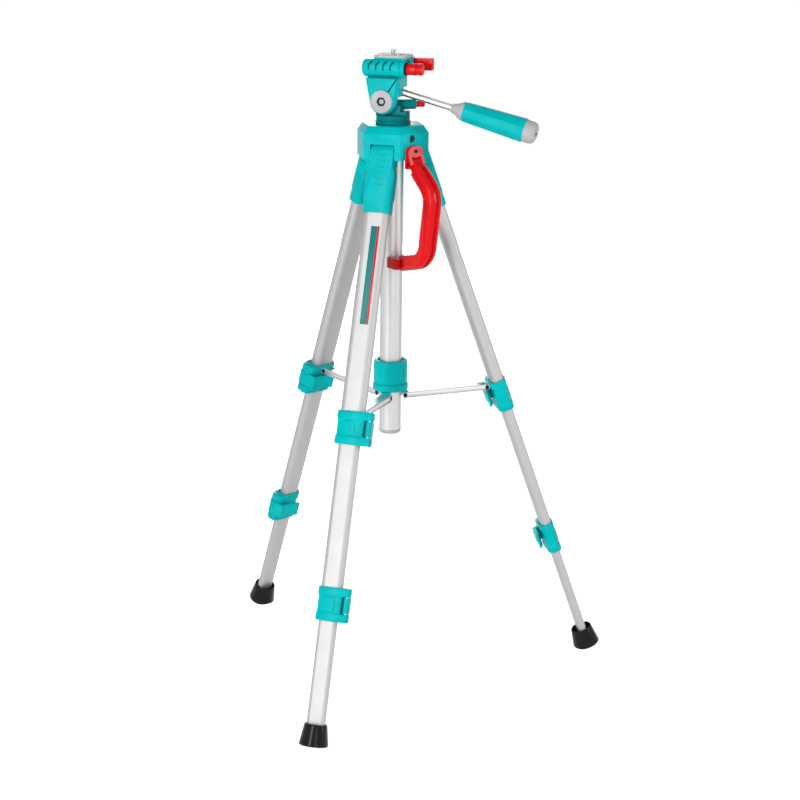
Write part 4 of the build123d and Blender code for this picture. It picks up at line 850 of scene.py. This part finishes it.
def camera_plate():
    """Quick-release plate: a rolled rim round a sunk, ribbed pad."""
    plate = block(
        "camera_plate_moulding", 6.0,
        (687.4, 36.2, 29.2), (687.8, 37.0, 30.0), (689.1, 37.0, 30.0), (689.9, 36.2, 29.2),
        (690.2, 34.8, 27.8), (690.2, 32.6, 25.6), (689.8, 32.2, 25.2),
        steps=8,
    )
    for row in range(7):
        rib = block("rib", 0.5, (689.5, 27.0, 1.6), (690.0, 27.0, 1.6), (690.15, 26.4, 1.0), steps=3)
        joined(plate, moved(rib, shifted(y=-9.6 + 3.2 * row)))
    rim = turning("rim", (689.5, 6.6), (690.05, 6.6), (690.2, 6.3), (690.2, 4.2), (689.9, 3.6), sides=48)
    return joined(plate, rim)


def camera_thread():
    """Quarter-inch screw with its turns of thread."""
    rings = [(690.0, 2.9)]
    for turn in range(4):
        base = 690.4 + THREAD_PITCH * turn
        rings += [(base, 2.62), (base + 0.3, 2.62), (base + 0.58, 3.17), (base + 0.72, 3.17)]
    rings += [(695.5, 2.62), (695.9, 2.3), (696.0, 1.9)]
    return turning("camera_thread", *rings, sides=48)


# The pan base takes the darker teal: painted shade from the head above it.
head_parts = (
    ("pan_base", "pan_base_moulding", 0.8, "pan_head", PAINTED_SHADE_TEAL),
    ("tilt_axle", "tilt_axle_cap", 0.4, "tilt_head", GREY),
    ("platform", "platform_moulding", 0.7, "platform", TEAL),
    ("release_lever", "release_lever_moulding", 0.6, "release_lever", RED),
    ("portrait_knob", "portrait_knob_moulding", 0.6, "portrait_knob", RED),
    ("pan_lock_knob", "pan_lock_knob_moulding", 0.35, "pan_lock_knob", RED),
)
fitted(set_in(tilt_body(), Matrix()), "tilt_head", TEAL, "tilt_body")
for node, name, edge, body, finish in head_parts:
    fitted(from_solid(node, name, edge, 3), body, finish, node)

rod = turning("handle_rod_bar", (-9.0, 3.3), (-8.7, 3.6), (94.7, 3.6), (95.0, 3.3))
fitted(set_in(rod, rod_place()), "pan_handle", CHROME, "handle_rod")
ferrule = turning(
    "handle_ferrule_cone",
    (57.0, 3.7), (57.0, 4.5), (57.6, 5.0), (61.0, 5.9), (63.4, 7.0), (66.0, 8.6), (67.8, 9.6),
    (69.4, 10.1), (70.5, 10.1), (71.0, 9.8), (71.4, 9.4),
)
fitted(set_in(ferrule, rod_place()), "pan_handle", GREY, "handle_ferrule")
fitted(set_in(pan_grip(), rod_place()), "pan_handle", TEAL, "handle_grip")
knob = turning(
    "handle_end_knob",
    (139.2, 11.4), (139.5, 11.8), (140.0, 11.9), (146.5, 11.8), (149.5, 11.0), (151.2, 9.4),
    (152.0, 7.2), (152.0, 6.0), (151.6, 5.6),
)
slit = block("slit", 1.1, (149.5, 9.0, 2.4), (155.0, 9.0, 2.4), steps=4)
fitted(set_in(cut(knob, slit), rod_place()), "pan_handle", GREY, "handle_end_cap")
fitted(set_in(camera_plate(), Matrix()), "camera_plate", GREY, "quick_release_plate")
fitted(set_in(camera_thread(), Matrix()), "camera_screw", STEEL, "camera_screw")
washer = turning("portrait_washer", (16.4, 6.6), (16.8, 6.9), (18.2, 6.9), (18.6, 6.6))
moved(washer, roll_place())
fitted(set_in(washer, Matrix()), "portrait_knob", RUBBER)
screw = turning("axle_cap_screw", (15.5, 5.0), (18.9, 5.0), (19.1, 4.8), (19.1, 3.2), (17.6, 3.0), sides=6)
moved(screw, axle_place())
fitted(set_in(screw, Matrix()), "tilt_head", BLACK)

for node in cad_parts.values():
    if not node.hide_render:
        node.data.materials.clear()
        node.data.materials.append(STEEL)


# Floor, light and camera
def shows_background(tree):
    """One for rays from the camera, in reflections and through clear things."""
    seen = tree.nodes.new("ShaderNodeLightPath")
    total = seen.outputs["Is Camera Ray"]
    for kind in ("Is Glossy Ray", "Is Transmission Ray"):
        added = tree.nodes.new("ShaderNodeMath")
        added.operation = "ADD"
        added.use_clamp = True
        tree.links.new(total, added.inputs[0])
        tree.links.new(seen.outputs[kind], added.inputs[1])
        total = added.outputs[0]
    return total


bpy.ops.object.select_all(action="DESELECT")
bpy.ops.mesh.primitive_plane_add(size=60, location=(0, 0, 0))
floor = bpy.context.object
floor.name = "floor"
ground = bpy.data.materials.new("pale_floor")
ground.use_nodes = True
tree = ground.node_tree
tree.nodes.remove(tree.nodes["Principled BSDF"])
matt = tree.nodes.new("ShaderNodeBsdfDiffuse")
matt.inputs["Color"].default_value = (0.78, 0.78, 0.78, 1)
bright = tree.nodes.new("ShaderNodeEmission")
bright.inputs["Strength"].default_value = 0.9
lifted = tree.nodes.new("ShaderNodeAddShader")
choice = tree.nodes.new("ShaderNodeMixShader")
tree.links.new(shows_background(tree), choice.inputs[0])
tree.links.new(matt.outputs[0], lifted.inputs[0])
tree.links.new(bright.outputs[0], lifted.inputs[1])
tree.links.new(matt.outputs[0], choice.inputs[1])
tree.links.new(lifted.outputs[0], choice.inputs[2])
tree.links.new(choice.outputs[0], tree.nodes["Material Output"].inputs["Surface"])
floor.data.materials.append(ground)

world = bpy.data.worlds.new("studio")
bpy.context.scene.world = world
world.use_nodes = True
tree = world.node_tree
soft = tree.nodes["Background"]
soft.inputs["Color"].default_value = (1, 1, 1, 1)
sky = tree.nodes.new("ShaderNodeTexCoord")
height = tree.nodes.new("ShaderNodeSeparateXYZ")
tree.links.new(sky.outputs["Generated"], height.inputs[0])
tree.links.new(spread(tree, height.outputs["Z"], 0.46, 0.08, -0.1, 0.8), soft.inputs["Strength"])
white = tree.nodes.new("ShaderNodeBackground")
white.inputs["Color"].default_value = (1, 1, 1, 1)
white.inputs["Strength"].default_value = 1.0
choice = tree.nodes.new("ShaderNodeMixShader")
tree.links.new(shows_background(tree), choice.inputs[0])
tree.links.new(soft.outputs[0], choice.inputs[1])
tree.links.new(white.outputs[0], choice.inputs[2])
tree.links.new(choice.outputs[0], tree.nodes["World Output"].inputs["Surface"])


def softbox(name, place, wide, tall, power):
    bpy.ops.object.light_add(type="AREA", location=place)
    lamp = bpy.context.object
    lamp.name = name
    lamp.data.shape = "RECTANGLE"
    lamp.data.size = wide
    lamp.data.size_y = tall
    lamp.data.energy = power
    toward = Vector((0, 0, 0.35)) - Vector(place)
    lamp.rotation_mode = "QUATERNION"
    lamp.rotation_quaternion = toward.to_track_quat("-Z", "Y")


softbox("key_light", (-0.45, -2.3, 0.95), 0.45, 1.9, 34)
softbox("fill_light", (1.3, -1.9, 0.75), 0.3, 1.2, 7)
softbox("side_light", (2.2, 0.13, 0.95), 0.25, 1.1, 12)
softbox("back_light", (-0.9, 2.1, 0.95), 0.45, 1.9, 16)

turn, tilt, roll = radians(VIEW_TURN), radians(VIEW_TILT), radians(VIEW_ROLL)
spun = Matrix.Rotation(turn, 3, "Z")
back = spun @ Vector((0, -cos(tilt), sin(tilt)))
level = spun @ Vector((1, 0, 0))
upright = back.cross(level)
right = level * cos(roll) + upright * sin(roll)
top = upright * cos(roll) - level * sin(roll)
bpy.ops.object.camera_add()
camera = bpy.context.object
camera.data.sensor_width = SENSOR
camera.data.lens = SENSOR * FOCAL_LENGTH / IMAGE_SIDE
pose = Matrix((right, top, back)).transposed().to_4x4()
pose.translation = spun @ Vector(VIEW_AIM) + back * VIEW_DISTANCE
camera.matrix_world = pose
bpy.context.scene.camera = camera
bpy.context.scene.view_settings.view_transform = "Standard"
